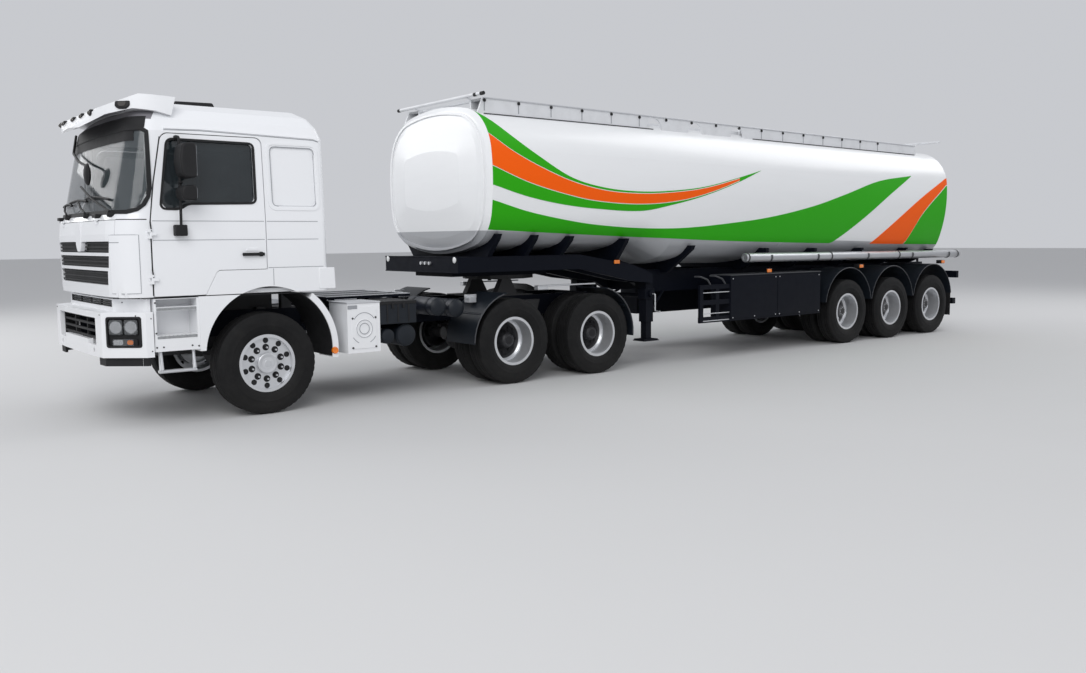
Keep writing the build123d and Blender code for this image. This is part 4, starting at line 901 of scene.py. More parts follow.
class TANKER_OT_wheels(bpy.types.Operator):
    """Wheel nuts with rings of painted shade round them, hub flanges, hub caps, and dark discs as painted shade in the
    hand holes
    """

    bl_idname = "tanker.wheels"
    bl_label = "Wheels"

    def execute(self, context):
        nut = context.scene.tanker_sizes.nut_radius

        def round_wheel(name, body, x, y, circle_radius, count, phase, radius, height, sides, finish):
            turns = [360 * (i + phase) / count for i in range(count)]
            points = [(u, y, v) for u, v in arc(x, WHEEL_Z, circle_radius, turns)]
            studs(name, body, points, (0, 1 if y > 0 else -1, 0), radius, height, sides, finish, "rim")

        for name, side in SIDES:
            body, face = "front_wheel_" + name, FRONT_TRACK + 0.074
            # the dark rings round the nuts and the dark discs on the hand holes are painted shade
            for word, lift, reach, radius, height, sides, finish in (
                ("nut_shade_rings", 0.001, NUT_CIRCLE, nut * 2.1, 0.006, 20, "seal"),
                ("nuts", 0.014, NUT_CIRCLE, nut * 1.15, 0.022, 6, "hub"),
                ("studs", 0.026, NUT_CIRCLE, nut * 0.55, 0.042, 10, "dull_rim"),
                ("hand_hole_shades", -0.004, 0.240, 0.030, 0.014, 20, "seal"),
            ):
                round_wheel("front_%s_%s" % (word, name), body, AXLE_X, side * (face + lift), reach, 10, 0.5,
                            radius, height, sides, finish)
            cap = [(0.1300, 0), (0.1300, 0.036), (0.1270, 0.040), (0.1270, 0.082), (0.1290, 0.086), (0.1290, 0.100),
                   (0.1230, 0.108), (0.0800, 0.110)]
            Form(AXLE_X, side).lathe(cap, (0, FRONT_TRACK, WHEEL_Z), 48).make(
                "front_cap_" + name, body, "dull_rim", "rim")
            for kind, stations, track, nose, disc, nuts, bolts in (
                ("drive", DRIVE_X, DRIVE_TRACK, 0.165, "hub", "hub", "bead"),
                ("trailer", TRAILER_X, TRAILER_TRACK, 0.190, "cast", "steel", "steel"),
            ):
                for number, x in enumerate(stations, start=1):
                    key, body = "%s_%d_%s" % (kind, number, name), "%s_wheel_%d_%s" % (kind, number, name)
                    # the dark discs on the disc holes are painted shade in the openings
                    for word, lift, reach, count, phase, radius, height, sides, finish in (
                        ("nuts_", 0.028, NUT_CIRCLE, 10, 0.5, nut, 0.030, 6, nuts),
                        ("cap_bolts_", nose - 0.004, 0.062, 8, 0.0, 0.007, 0.014, 6, bolts),
                        ("disc_hole_shades_", 0.021, 0.212, 10, 0.0, 0.022, 0.008, 16, "seal"),
                    ):
                        round_wheel(word + key, body, x, side * (track + lift), reach, count, phase,
                                    radius, height, sides, finish)
                    hub = Form(x, side)
                    for profile, steps in (
                        ([(nose + 0.002, 0), (nose + 0.004, 0.040), (nose, 0.050), (nose - 0.004, 0.046)], 32),
                        ([(0.016, 0.095), (0.020, 0.200), (0.018, 0.206), (0.012, 0.206), (0.010, 0.095)], 48),
                    ):
                        hub.lathe(profile, (0, track, WHEEL_Z), steps)
                    hub.make("hub_disc_" + key, body, disc, "rim")
        return {"FINISHED"}


class TANKER_OT_cab_skin(bpy.types.Operator):
    """Windscreen rubber, painted visor shadow above the glass, painted shade lines along the swages, drip rails with
    painted shadow under them, panel seams, and recess edges with a painted shade line
    """

    bl_idname = "tanker.cab_skin"
    bl_label = "Cab skin trim"

    def execute(self, context):
        skin, shell = Skin("cab_shell", "windscreen", "front_flap", "door_left", "door_right"), Skin("cab_shell")
        # windscreen rubber: across the front at the bottom, up the left, back over the top, down the right
        corner = [(1.330, 2.112), (1.245, 2.137), (1.182, 2.187), (1.140, 2.262), (1.122, 2.345), (1.113, 2.885)]
        corner = spaced(corner, 0.05)

        def up_side(pairs, side):
            for x, z in pairs:
                hit = skin.from_side(AXLE_X + x, z, side)
                if not hit or abs(hit[0].y) < 1.0:
                    hit = skin.nearest((AXLE_X + x, side * 1.20, z), (0, side, 0))
                yield hit

        sill, head, width = 2.112, 2.912, context.scene.tanker_sizes.seal_width
        rubber_path = [skin.around(turn, sill) for turn in spread(-46, 46, 32)]
        rubber_path += up_side(corner, 1)
        rubber_path += [skin.around(turn, head) for turn in spread(53, -53, 36)]
        rubber_path += up_side(reversed(corner), -1)
        Form().strip(rubber_path, width, 0.010, closed=True, sink=0.02).make(
            "windscreen_rubber", "cab", "seal", "trim", angle=60)
        # black sun strip at the glass's top, and a dark board on the cab under the visor: painted shadow of the visor
        glass = Skin("windscreen", "cab_shell")
        strips = Form().plate(glass.rows(spread(-50, 50, 40), (2.795, 2.830, 2.865, 2.900)), 0.003)
        strips.plate(shell.rows(spread(-54, 54, 54), (2.925, 2.96, 2.985, 3.00, 3.012, 3.024, 3.036)), 0.004)
        strips.make("sun_strip_and_visor_shadow", "cab", "seal", "trim", angle=60)
        # grey sheet over the cab's header above the board: painted shadow of the visor
        heights = (3.010, 3.022, 3.034, 3.042, 3.050, 3.060, 3.075, 3.090, 3.120, 3.150)
        Form().plate(shell.rows(spread(-56, 56, 56), heights), 0.003).make(
            "header_visor_shadow", "cab", "visor_under", "trim", angle=60)
        # seam from the flap's corner to the door, and the gap ahead of the door
        seams = Form()
        for name, side in SIDES:
            seams.strip([shell.corner(turn, 2.040, side) for turn in range(28, 93, 8)], 0.010, 0.0015)
            gap = spaced([(1.139, 1.300), (1.139, 2.020), (1.090, 2.380), (1.000, 2.840)], 0.1)
            seams.strip(shell.path(gap, side), 0.012, 0.0015)
        seams.make("cab_seams", "cab", "seal", "trim", angle=60)
        # painted shade lines along the swages on the doors and the cab's rear quarter, drip rails with a painted shadow
        # line under them, and the recess behind the door with a painted shade line round it
        for name, side in SIDES:
            door, dark = Form(), Form()
            # painted shade lines along the swage creases
            for z in (2.026, 1.839):
                for form, start, end in ((door, -0.005, 1.120), (dark, -0.690, -0.035)):
                    form.strip(skin.path(spaced([(start, z), (end, z)], 0.1), side), 0.007, 0.0015)
            door.make("door_swage_shade_" + name, "door_" + name, "line", "trim", angle=60)
            rail = spaced([(0.955, 2.925), (0.60, 2.935), (-0.60, 2.905), (-0.66, 2.890)], 0.1)
            Form().strip(skin.path(rail, side), 0.022, 0.012).make(
                "cab_rails_" + name, "cab", "cab", "paint", angle=60)
            # painted shadow line under the drip rail
            dark.strip(skin.path([(x, z - 0.017) for x, z in rail], side), 0.009, 0.0015)
            # painted shade line round the recess behind the door
            ring = ring_of(rounded(oblong((-0.600, -0.110), (2.185, 2.800)), 0.06), 0.08)
            dark.strip(skin.path(ring, side), 0.009, 0.0015, closed=True)
            ring = ring_of(rounded(oblong((-0.632, -0.078), (2.153, 2.832)), 0.08), 0.08)
            Form().strip(skin.path(ring, side), 0.030, 0.006, closed=True).make(
                "recess_edge_" + name, "cab", "cab", "paint", angle=60)
            skirt = [(-0.795, 1.300), (-0.600, 1.300), (-0.600, 1.530), (-0.785, 1.530)]
            Form(AXLE_X, side).prism(skirt, (1.150, 1.228), "Y").make(
                "rear_skirt_" + name, "cab", "cab", "paint", 0.008)
            for seam in ([(-0.035, 1.545), (-0.655, 1.545)], [(-0.090, 1.535), (-0.090, 1.360)]):
                dark.strip(skin.path(spaced(seam, 0.1), side), 0.007, 0.0015)
            dark.make("quarter_seams_and_shade_lines_" + name, "cab", "line", "trim", angle=60)
        return {"FINISHED"}


class TANKER_OT_doors(bpy.types.Operator):
    """Door handles, window rubbers, mirrors and their arms"""

    bl_idname = "tanker.doors"
    bl_label = "Doors"

    def execute(self, context):
        skin = Skin("door_left", "door_right")
        window = [(0.074, 2.810), (0.925, 2.816), (1.024, 2.150), (0.830, 2.150), (0.756, 2.205), (0.080, 2.218)]
        middle, ring, panel = Vector((0.52, 2.49)), [], 1.222
        for corner in rounded(window, [0.055, 0.060, 0.060, 0.060, 0.050, 0.055]):
            ring.append(tuple(Vector(corner) + (Vector(corner) - middle).normalized() * 0.012))
        for name, side in SIDES:
            body = "door_" + name
            Form().strip(skin.path(ring_of(ring, 0.09), side), 0.026, 0.006, closed=True, sink=0.01).make(
                "window_rubber_" + name, body, "seal", "trim", angle=60)
            handle = Form(AXLE_X, side).box((0.008, 0.240), (panel, panel + 0.034), (1.672, 1.704))
            handle.box((0.020, 0.060), (panel - 0.004, panel + 0.012), (1.664, 1.712))
            handle.make("door_handle_" + name, body, "plastic", "trim", 0.008)
            recess = rounded([(0.060, 1.722), (0.200, 1.722), (0.180, 1.752), (0.080, 1.752)], 0.01)
            Form(AXLE_X, side).prism(recess, (panel - 0.003, panel + 0.006), "Y").make(
                "handle_recess_" + name, body, "cab", "paint", 0.002)
            casing, faces = Form(AXLE_X, side), Form(AXLE_X, side)
            for x, heights, radius, span in (
                (0.742, (2.432, 2.440, 2.600, 2.768, 2.776), 0.05, (1.250, 1.470)),
                (0.748, (2.216, 2.222, 2.292, 2.362, 2.368), 0.04, (1.252, 1.465)),
            ):
                outline = list(zip((x, 0.880, 0.905, 0.880, x), heights))
                casing.prism(rounded(outline, radius), span, "Y")
            casing.make("mirror_casings_" + name, body, "plastic", "trim", 0.022, ["mirrors_" + name])
            for y, z, radius, span in (((1.272, 1.448), (2.456, 2.752), 0.025, (0.739, 0.744)),
                                       ((1.274, 1.444), (2.238, 2.346), 0.02, (0.745, 0.750))):
                faces.prism(rounded(oblong(y, z), radius), span, "X")
            faces.make("mirror_faces_" + name, body, "mirror", "glass")
            arm = placed([(0.850, 1.180, 2.838), (0.850, 1.285, 2.838), (0.865, 1.285, 1.940)], AXLE_X, side)
            pipes("mirror_arm_" + name, body, [arm], 0.014, "plastic", "trim", bend=0.035)
            foot = Form(AXLE_X, side).box((0.806, 0.924), (1.215, 1.304), (1.879, 1.988))
            foot.box((0.832, 0.868), (1.165, 1.225), (2.818, 2.858))
            for z in (2.395, 2.735, 2.245):
                foot.box((0.838, 0.878), (1.262, 1.320), about(z, 0.014))
            foot.make("mirror_feet_" + name, body, "plastic", "trim", 0.012)
        return {"FINISHED"}


class TANKER_OT_front(bpy.types.Operator):
    """Front flap tongue, corner panels, wipers, visor lamps, roof hatch and kerb mirror"""

    bl_idname = "tanker.front"
    bl_label = "Cab front"

    def execute(self, context):
        # bare tongue over the middle of the top grille slot
        outline = rounded([(-0.105, 2.030), (-0.105, 1.800), (-0.055, 1.730), (0.055, 1.730), (0.105, 1.800),
                           (0.105, 2.030)], [0.005, 0.03, 0.03, 0.03, 0.03, 0.005])
        Form(AXLE_X).prism(outline, (1.440, 1.5135), "X").make("flap_tongue", "flap", "cab", "paint", 0.004)
        # upright pressed panel at each front corner, with painted shadow lines round its edge and one near its top
        front = Skin("cab_shell", "front_flap")
        for name, side in SIDES:
            rows = [[front.corner(turn, z, side) for turn in spread(12, 74, 8)] for z in spread(1.330, 1.890, 8)]
            Form().plate(rows, 0.008).make("corner_panel_" + name, "cab", "cab", "paint", 0.003, angle=50)
            # painted shadow lines round the panel and near its top
            edge = Form().strip([rows[i][j] for i, j in grid_rim(9, 9)], 0.012, 0.0045, closed=True)
            edge.strip([(point + normal * 0.008, normal) for point, normal in rows[7][:4]], 0.008, 0.0015)
            edge.make("corner_shadow_lines_" + name, "cab", "line", "trim", angle=60)
        # wipers
        cowl, shell, visor = Skin("cab_shell", "windscreen"), Skin("cab_shell"), Skin("sun_visor")
        arms, blades, pods = [], [], Form()

        def off(y, z, gap):
            point, normal = cowl.from_front(y, z)
            return point + normal * gap

        for pivot, tip, run in (((1.017, 2.096), (-0.049, 2.394), ((0.913, 2.232), (0.134, 2.268))),
                                ((0.276, 2.098), (-0.061, 2.237), ((0.190, 2.240), (-0.564, 2.244))),
                                ((-0.535, 2.098), (-0.720, 2.210), ((-0.449, 2.215), (-0.930, 2.215)))):
            middle = [(a + b) / 2 for a, b in zip(pivot, tip)]
            arms.append([off(*pivot, 0.045), off(*middle, 0.055), off(*tip, 0.045)])
            blade = zip(*(spread(*ends, 8) for ends in zip(*run)))
            blades.append([off(y, z + 0.018 * math.sin(math.pi * k / 8), 0.022) for k, (y, z) in enumerate(blade)])
            pods.lathe([(0, 0), (0, 0.030), (0.045, 0.026), (0.062, 0.024), (0.068, 0)], off(*pivot, -0.010), 16, "X")
        for y, wide in ((0.660, 0.070), (-0.902, 0.050)):
            x = off(y, 2.078, 0.0).x
            pods.box((x - 0.02, x + 0.050), about(y, wide), (2.066, 2.100))
            pods.box((x - 0.02, x + 0.032), about(y, wide * 0.55), (2.046, 2.066))
        pipes("wiper_arms", "cab", arms, 0.011, "plastic", "trim", bend=0.02, sides=8)
        pipes("wiper_blades", "cab", blades, 0.014, "seal", "trim", sides=6)
        pods.make("wiper_pivots", "cab", "plastic", "trim", 0.004)
        # lamps on the visor: round ones along its front, flat ones at its corners
        lamps, glints = Form(), Form()
        for y, z, size in ((-0.640, 3.088, 0.034), (-0.464, 3.087, 0.034), (-0.066, 3.087, 0.034),
                           (0.263, 3.091, 0.034), (0.600, 3.092, 0.036)):
            x = visor.from_front(y, z)[0].x - 0.004
            for form, r, lift in ((lamps, size, 0.0), (glints, size * 0.70, 0.012)):
                form.lathe([(-0.02, 0), (-0.02, r), (0.006, r), (0.018, r * 0.72), (0.024, r * 0.30), (0.025, 0)],
                           (x + lift, y, z), 20, "X")
        for name, side in SIDES:
            start = (AXLE_X + 1.276 + 1.0, side * (0.990 + 1.1), 3.143)
            point, normal = visor.meet(start, (-1.0, -side * 1.1, 0))
            turn = Vector((normal.x, normal.y, 0.35)).normalized().to_track_quat("X", "Z").to_matrix()
            for form, wide, tall, lift in ((lamps, 0.074, 0.040, 0.012), (glints, 0.044, 0.026, 0.020)):
                outline = rounded([(-wide, -tall * 0.4), (-wide * 0.5, -tall), (wide * 0.5, -tall), (wide, -tall * 0.2),
                                   (wide, tall), (-wide, tall)], tall * 0.4, 3)
                form.skin([[point + turn @ Vector((out, u * size, v * size)) for u, v in outline]
                           for out, size in ((-0.02, 1.0), (lift * 0.5, 1.0), (lift, 0.85))])
        lamps.make("visor_lamp_cases", "cab", "plastic", "trim")
        glints.make("visor_lamp_lenses", "cab", "smoke", "lamp")
        # grey sheet laid on the visor's underside, from the glass out to the visor's edge: its dark lining with painted
        # shade under the visor
        down = Vector((0, 0, -1))
        columns = []
        for turn in spread(-46, 46, 32):
            out = Vector((math.cos(math.radians(turn)), math.sin(math.radians(turn)), 0))
            near = shell.around(turn, 2.985)[0] + out * 0.020
            edge = visor.around(turn, 3.060)
            far = (edge[0] if edge else near + out * 0.15) - out * 0.014
            spots = [near.lerp(far, share) for share in spread(0, 1, 4)]
            columns.append([((visor.meet((p.x, p.y, 2.90), -down) or visor.nearest((p.x, p.y, 3.02), down))[0], down)
                            for p in spots])
        Form().plate(list(zip(*columns)), 0.003).make("visor_lining_and_shade", "cab", "visor_under", "trim", angle=60)
        hatch = [(0.630, 3.210), (0.600, 3.292), (0.200, 3.300), (0.160, 3.220), (0.180, 3.120), (0.620, 3.120)]
        Form(AXLE_X).prism(hatch, (-0.40, 0.45), "Y").make("roof_hatch", "cab", "plastic", "trim", 0.012)
        # oval mirror in front of the glass, on an arm from the far top corner
        x, y, z = 7.704, 0.335, 2.510
        arm = [(7.500, -0.930, 3.010), (7.585, -0.720, 2.797), (7.660, -0.200, 2.675), (7.692, 0.205, 2.606),
               (x, 0.300, 2.560)]
        pipes("kerb_mirror_arm", "cab", [arm], 0.014, "plastic", "trim", bend=0.08)
        bowl = ((-0.020, 0.60), (-0.008, 0.95), (0.004, 1.0), (0.020, 0.86), (0.032, 0.55))
        rings = [[(x + out, *p) for p in circle(y, z, 0.080 * size, 32, 0.112 * size)] for out, size in bowl]
        Form().skin([[(x - 0.022, y, z)], *rings, [(x + 0.038, y, z)]]).make("kerb_mirror", "cab", "plastic", "trim")
        return {"FINISHED"}


class LampForm(Form):
    """A form whose points are (across, up, out) on the slanted face of a headlamp."""

    def add(self, points, faces):
        along, normal = Vector((-0.337, 0.290, 0)).normalized(), Vector((0.290, 0.337, 0)).normalized()
        middle = Vector((AXLE_X + 1.3935, 1.075, 0.950))
        return super().add([middle + along * u + Vector((0, 0, v)) + normal * w for u, v, w in points], faces)

    def block(self, across, up, wide, high, near, far, radius, taper=1.0):
        """Rounded block between two depths."""
        outline = rounded(oblong((-wide / 2, wide / 2), (-high / 2, high / 2)), radius, 3)
        return self.skin([[(across + u * size, up + v * size, depth) for u, v in outline]
                          for depth, size in ((near, 1.0), (far, taper))])


class TANKER_OT_bumper(bpy.types.Operator):
    """Headlamps, bumper bolts and tow hole plugs"""

    bl_idname = "tanker.bumper"
    bl_label = "Bumper"

    def execute(self, context):
        wide, high = 0.176, 0.150
        for name, side in SIDES:
            bowls, lenses, amber, rim = (LampForm(0, side) for _ in range(4))
            for across in (-0.078, 0.072):
                bowl = ((0.062, 0.003), (0.058, 0.003), (0.045, 0.001), (0.020, 0.0005))
                rings = [[(*p, depth) for p in circle(across, 0.050, radius, 24)] for radius, depth in bowl]
                bowls.skin([*rings, [(across, 0.050, 0.006)]])
                lenses.block(across, 0.050, 0.136, 0.146, 0.006, 0.012, 0.026, 0.95)
                rim.block(across, 0.050, 0.140, 0.150, -0.006, -0.0035, 0.026)
            bowls.block(-0.060, -0.098, 0.095, 0.050, -0.004, 0.001, 0.014)
            lenses.block(-0.010, -0.098, 0.211, 0.066, 0.004, 0.010, 0.016, 0.96)
            amber.block(0.060, -0.098, 0.060, 0.044, 0.001, 0.004, 0.020)
            ring = rounded(oblong((-wide, wide), (-high, high)), 0.03)
            rim.skin([[(u * (1 - inset / wide), v * (1 - inset / high), depth) for u, v in ring]
                      for inset, depth in ((0.0, -0.004), (0.0, 0.006), (0.018, 0.006), (0.020, -0.016))], closed=True)
            for form, word, finish, slot in ((bowls, "bowls", "chrome", "lamp"), (lenses, "lenses", "lens", "glass"),
                                             (amber, "indicators", "amber", "lamp"), (rim, "frame", "plastic", "trim")):
                form.make("lamp_%s_%s" % (word, name), "tractor", finish, slot)
        # bolts on the bumper's ends and its front, and the backs of the tow holes
        hits, shell, plugs = [], Skin("front_bumper"), Form()
        for name, side in SIDES:
            hits += shell.path([(1.300, 1.110), (1.175, 0.760), (1.175, 1.080)], side)
            fronts = (shell.from_front(side * y, z) for y, z in ((0.890, 1.120), (0.940, 1.235)))
            hits += [hit for hit in fronts if hit]
            plugs.at(AXLE_X, side).lathe([(-0.040, 0.0), (-0.040, 0.0236), (-0.012, 0.0236), (-0.012, 0)],
                                         (1.572, 0.660, 0.760), 20, "X")
        studs("bumper_bolts", "tractor", [h[0] for h in hits], [h[1] for h in hits], 0.0065, 0.008, 8, "cast", "trim")
        plugs.make("tow_hole_backs", "tractor", "seal", "trim")
        return {"FINISHED"}


class TANKER_OT_steps(bpy.types.Operator):
    """Step treads, hanging steps, arch liners, boxes, air tanks and catwalk"""

    bl_idname = "tanker.steps"
    bl_label = "Steps and boxes"

    def execute(self, context):
        liner, ends, bands, valve = (Form() for _ in range(4))
        rail_y = 1.195
        for name, side in SIDES:
            treads = Form(AXLE_X, side)
            for form in (liner, ends, bands, valve):
                form.at(AXLE_X, side)
            for z, back in ((1.165, 1.030), (0.885, 0.980)):
                treads.box((0.725, 1.115), (back, 1.205), (z - 0.012, z + 0.014))
            treads.make("step_treads_" + name, "tractor", "plate", "steel", 0.004)
            SLATS.grow("step_ribs_" + name, "tractor", bpy.data.meshes.new("seed"), "steel", "steel", Count=9,
                       Start=(AXLE_X + 0.760, side * 1.110, 0.901), Step=(0.040, 0, 0), Size=(0.012, 0.18, 0.006))
            hanging = [[(x, 1.150, 0.760), (x, rail_y, 0.560)] for x in (0.760, 1.080)]
            hanging.append([(0.745, rail_y, 0.545), (1.110, rail_y, 0.545)])
            pipes("hanging_step_" + name, "tractor", [placed(path, AXLE_X, side) for path in hanging], 0.015,
                  "steel", "steel")
            bolts = ((1.125, 1.230), (1.125, 0.930), (0.715, 0.780), (1.060, 0.790), (0.780, 0.790), (1.125, 0.790))
            studs("step_bolts_" + name, "tractor", placed([(x, 1.2005, z) for x, z in bolts], AXLE_X, side),
                  (0, side, 0), 0.009, 0.008, 8, "cast", "trim")
            marker = [(0, 0), (0.004, 0), (0.016, 0.020), (0.018, 0.034), (0, 0.040)]
            Form(AXLE_X, side).lathe(marker, (-0.765, 1.215, 0.620), 24).make(
                "fender_marker_" + name, "tractor", "amber", "lamp")
            # black liners over the front wheels, flat under the cab
            inner, outer = (arc(-0.040, 0.660, r, spread(62, 188, 36)) for r in (0.692, 0.700))
            liner.skin([[(a, 0.600, min(b, 1.266)), (a, 1.206, min(b, 1.266)),
                         (c, 1.206, min(d, 1.274)), (c, 0.600, min(d, 1.274))]
                        for (a, b), (c, d) in zip(inner, outer)])
            # air tanks behind: domed ends and bands
            for station, height in ((-2.195, 1.020), (-2.450, 0.990)):
                dome = [(0.040, 0), (0.036, 0.050), (0.016, 0.092), (0.0, 0.1085), (-0.02, 0.1085), (-0.02, 0)]
                ends.lathe(dome, (station, 1.080, height), 36)
                for y in (0.62, 0.95):
                    bands.lathe(hoop(0.018, 0.1082, 0.1130), (station, y, height), 36)
            # valve block ahead of the first drive axle and the bright plate over the second
            for x, y, z in (((-2.840, -2.740), (0.82, 0.94), (1.035, 1.110)),
                            ((-2.870, -2.710), (0.86, 0.90), (1.085, 1.135)),
                            ((-4.830, -3.830), (0.840, 0.925), (1.190, 1.208)),
                            ((-4.000, -3.830), (0.840, 0.925), (1.150, 1.200))):
                valve.box(x, y, z)
        liner.make("arch_liners", "tractor", "plastic", "trim", angle=50)
        ends.make("air_tank_ends", "tractor", "guard", "steel")
        bands.make("air_tank_bands", "tractor", "guard", "steel")
        valve.make("valve_blocks", "tractor", "steel", "steel", 0.004)
        # toolbox: pressed face with two rings, painted shade lines on the rings and along three curves, catch, corner
        # bolts and lid
        face, x0, x1 = 1.205, AXLE_X - 1.336, AXLE_X - 0.930
        middle, height = (x0 + x1) / 2, 0.835
        outline = rounded(oblong((x0 + 0.045, x1 - 0.045), (0.610, 1.085)), 0.05)
        press = Form().prism(outline, (face - 0.002, face + 0.006), "Y")
        press.lathe([(0.004, 0.088), (0.012, 0.092), (0.012, 0.104), (0.004, 0.108)], (middle, face, height), 40)
        press.lathe([(0.004, 0.0), (0.009, 0.030), (0.009, 0.060), (0.004, 0.064)], (middle, face, height), 32)
        press.make("toolbox_pressing", "tractor", "cab", "paint", 0.003)
        curves = [(arc(middle, 0.850, reach, spread(first, last, 10), reach * 1.1), 0.006)
                  for first, last, reach in ((35, 145, 0.150), (215, 245, 0.170), (295, 325, 0.170))]
        for radius in (0.098, 0.060):
            ring = circle(middle, height, radius, 32)
            curves.append((ring + ring[:1], 0.010))
        pipes("toolbox_shade_lines", "tractor", [[(x, face + lift, z) for x, z in curve] for curve, lift in curves], 0.004,
              "line", "paint", sides=6)
        Form().box((x1 - 0.120, x1 - 0.004), (face + 0.004, face + 0.009), (1.060, 1.100)).make(
            "toolbox_catch", "tractor", "line", "trim", 0.002)
        bolts = [(x, face + 0.006, z) for x in (x0 + 0.06, x1 - 0.06) for z in (0.625, 0.955)]
        studs("toolbox_bolts", "tractor", bolts, (0, 1, 0), 0.012, 0.010, 8, "cast", "trim")
        Form().box((x0 - 0.006, x1 + 0.006), (0.755, face + 0.008), (1.118, 1.136)).make(
            "toolbox_lid", "tractor", "steel", "steel", 0.004)
        # battery box: cover, ribs and straps, and the small tanks' caps
        x0, x1 = AXLE_X - 1.820, AXLE_X - 1.340
        cover = Form().box((x0 - 0.004, x1), (0.635, 1.196), (1.086, 1.124)).at(x0)
        for x in (0.10, 0.24, 0.38):
            cover.box(about(x, 0.008), (1.188, 1.198), (0.880, 1.086))
        for x in (0.17, 0.31):
            cover.box(about(x, 0.015), (1.190, 1.206), (1.040, 1.100))
        cover.make("battery_cover", "tractor", "plastic", "trim", 0.006)
        caps = Form(AXLE_X)
        for station, r in ((-1.460, 0.086), (-1.700, 0.128)):
            dome = [(0.030, 0), (0.028, r * 0.5), (0.012, r * 0.9), (-0.010, r * 1.01), (-0.05, r * 1.01), (-0.05, 0)]
            caps.lathe(dome, (station, 1.150, 0.720), 36)
        caps.make("small_tank_caps", "tractor", "guard", "trim")
        # catwalk plate and the bright strips along it
        x, y = (-2.080, -0.960), (-0.560, 0.620)
        Form(AXLE_X).box(x, y, (1.1652, 1.168)).make("catwalk_plate", "tractor", "guard", "steel")
        strips = Form(AXLE_X)
        for middle in (0.600, 0.200, -0.200, -0.540):
            strips.box(x, about(middle, 0.018), (1.167, 1.176))
        for middle in (-0.975, -2.065):
            strips.box(about(middle, 0.015), y, (1.167, 1.176))
        strips.make("catwalk_strips", "tractor", "steel", "steel", 0.002)
        return {"FINISHED"}


class TANKER_OT_interior(bpy.types.Operator):
    """Dashboard, steering wheel, seats and bunk in place of the plain ones"""

    bl_idname = "tanker.interior"
    bl_label = "Cab interior"

    def execute(self, context):
        profile = [(1.345, 1.345), (1.345, 2.055), (1.290, 2.085), (1.090, 2.050), (1.045, 1.950), (1.110, 1.780),
                   (1.190, 1.345)]
        dash = Form(AXLE_X).prism(profile, (-1.035, 1.035), "Y")
        dash.box((1.020, 1.180), (0.280, 0.780), (1.985, 2.075)).box((0.965, 1.110), (0.490, 0.550), (1.930, 1.990))
        dash.make("dashboard_top", "cab", "lining", "lining", 0.015)
        tilt, middle = Matrix.Rotation(math.radians(65), 3, "Y"), Vector((AXLE_X + 0.960, 0.520, 1.975))

        def ring_at(turn, section):
            """A section of (outwards, sideways, up), turned round the steering column."""
            a = math.radians(turn)
            out, across = Vector((math.cos(a), math.sin(a), 0)), Vector((-math.sin(a), math.cos(a), 0))
            return [middle + tilt @ (out * u + across * v + Vector((0, 0, w))) for u, v, w in section]

        grip = [(u, 0, w) for u, w in circle(0.225, 0, 0.015, 8)]
        wheel = Form().skin([ring_at(turn, grip) for turn in spread(0, 360, 40)[:-1]], closed=True)
        for turn in (90, 210, 330):
            wheel.skin([ring_at(turn, [(reach, v, w) for v, w in ((0.018, -0.006), (-0.018, -0.006), (-0.018, 0.006),
                                                                  (0.018, 0.006))]) for reach in (0.03, 0.222)])
        wheel.make("steering_wheel", "cab", "seal", "trim")
        for name, side in SIDES:
            y = side * 0.550
            for word, x, z, size, lean, fill in (("cushion", 0.420, 1.700, (0.500, 0.480, 0.150), 0, 0.6),
                                                 ("back", 0.165, 2.110, (0.150, 0.480, 0.640), -12, 0.6),
                                                 ("head", 0.110, 2.540, (0.100, 0.260, 0.180), -8, 0.8)):
                cushion("seat_%s_%s" % (word, name), (AXLE_X + x, y, z), size, "cloth", lean)
            stand = [(0.200, 1.345), (0.620, 1.345), (0.580, 1.620), (0.240, 1.620)]
            Form(AXLE_X).prism(stand, (y - 0.17, y + 0.17), "Y").make(
                "seat_stand_" + name, "cab", "lining", "lining", 0.01)
        bed = cushion("bunk_mattress", (AXLE_X - 0.375, 0, 1.725), (0.550, 2.120, 0.140), "bedding", 0)
        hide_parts("cab_interior")
        Form(AXLE_X).box((-0.655, -0.095), (-1.075, 1.075), (1.345, 1.655)).make(
            "bunk_base", "cab", "lining", "lining", 0.01)
        return {"FINISHED"}


def cushion(name, middle, size, finish, lean):
    """Crowned pad whose sides pull in between its corners; its thinnest way is crowned."""
    thin = size.index(min(size))
    order = [k for k in range(3) if k != thin] + [thin]
    turn, steps = Matrix.Rotation(math.radians(lean), 3, "Y"), spread(-1, 1, 10)
    sheets = []
    for layer in (-1, 1):
        sheet = []
        for u in steps:
            for v in steps:
                crown = (1 - u**4) * (1 - v**4)
                pull = 1 - 0.035 * (1 - u * u) * abs(v) ** 6 - 0.035 * (1 - v * v) * abs(u) ** 6
                spot = Vector()
                for value, axis in zip((u * pull, v * pull, layer * (0.45 + 0.55 * crown)), order):
                    spot[axis] = value * size[axis] / 2
                sheet.append(Vector(middle) + turn @ spot)
        sheets.append(sheet)
    piece = Form().sheets(*sheets, len(steps), len(steps)).make(name, "cab", finish, "lining", angle=180)
    soft = piece.modifiers.new("Soft", "SUBSURF")
    soft.levels = soft.render_levels = 1
    return piece


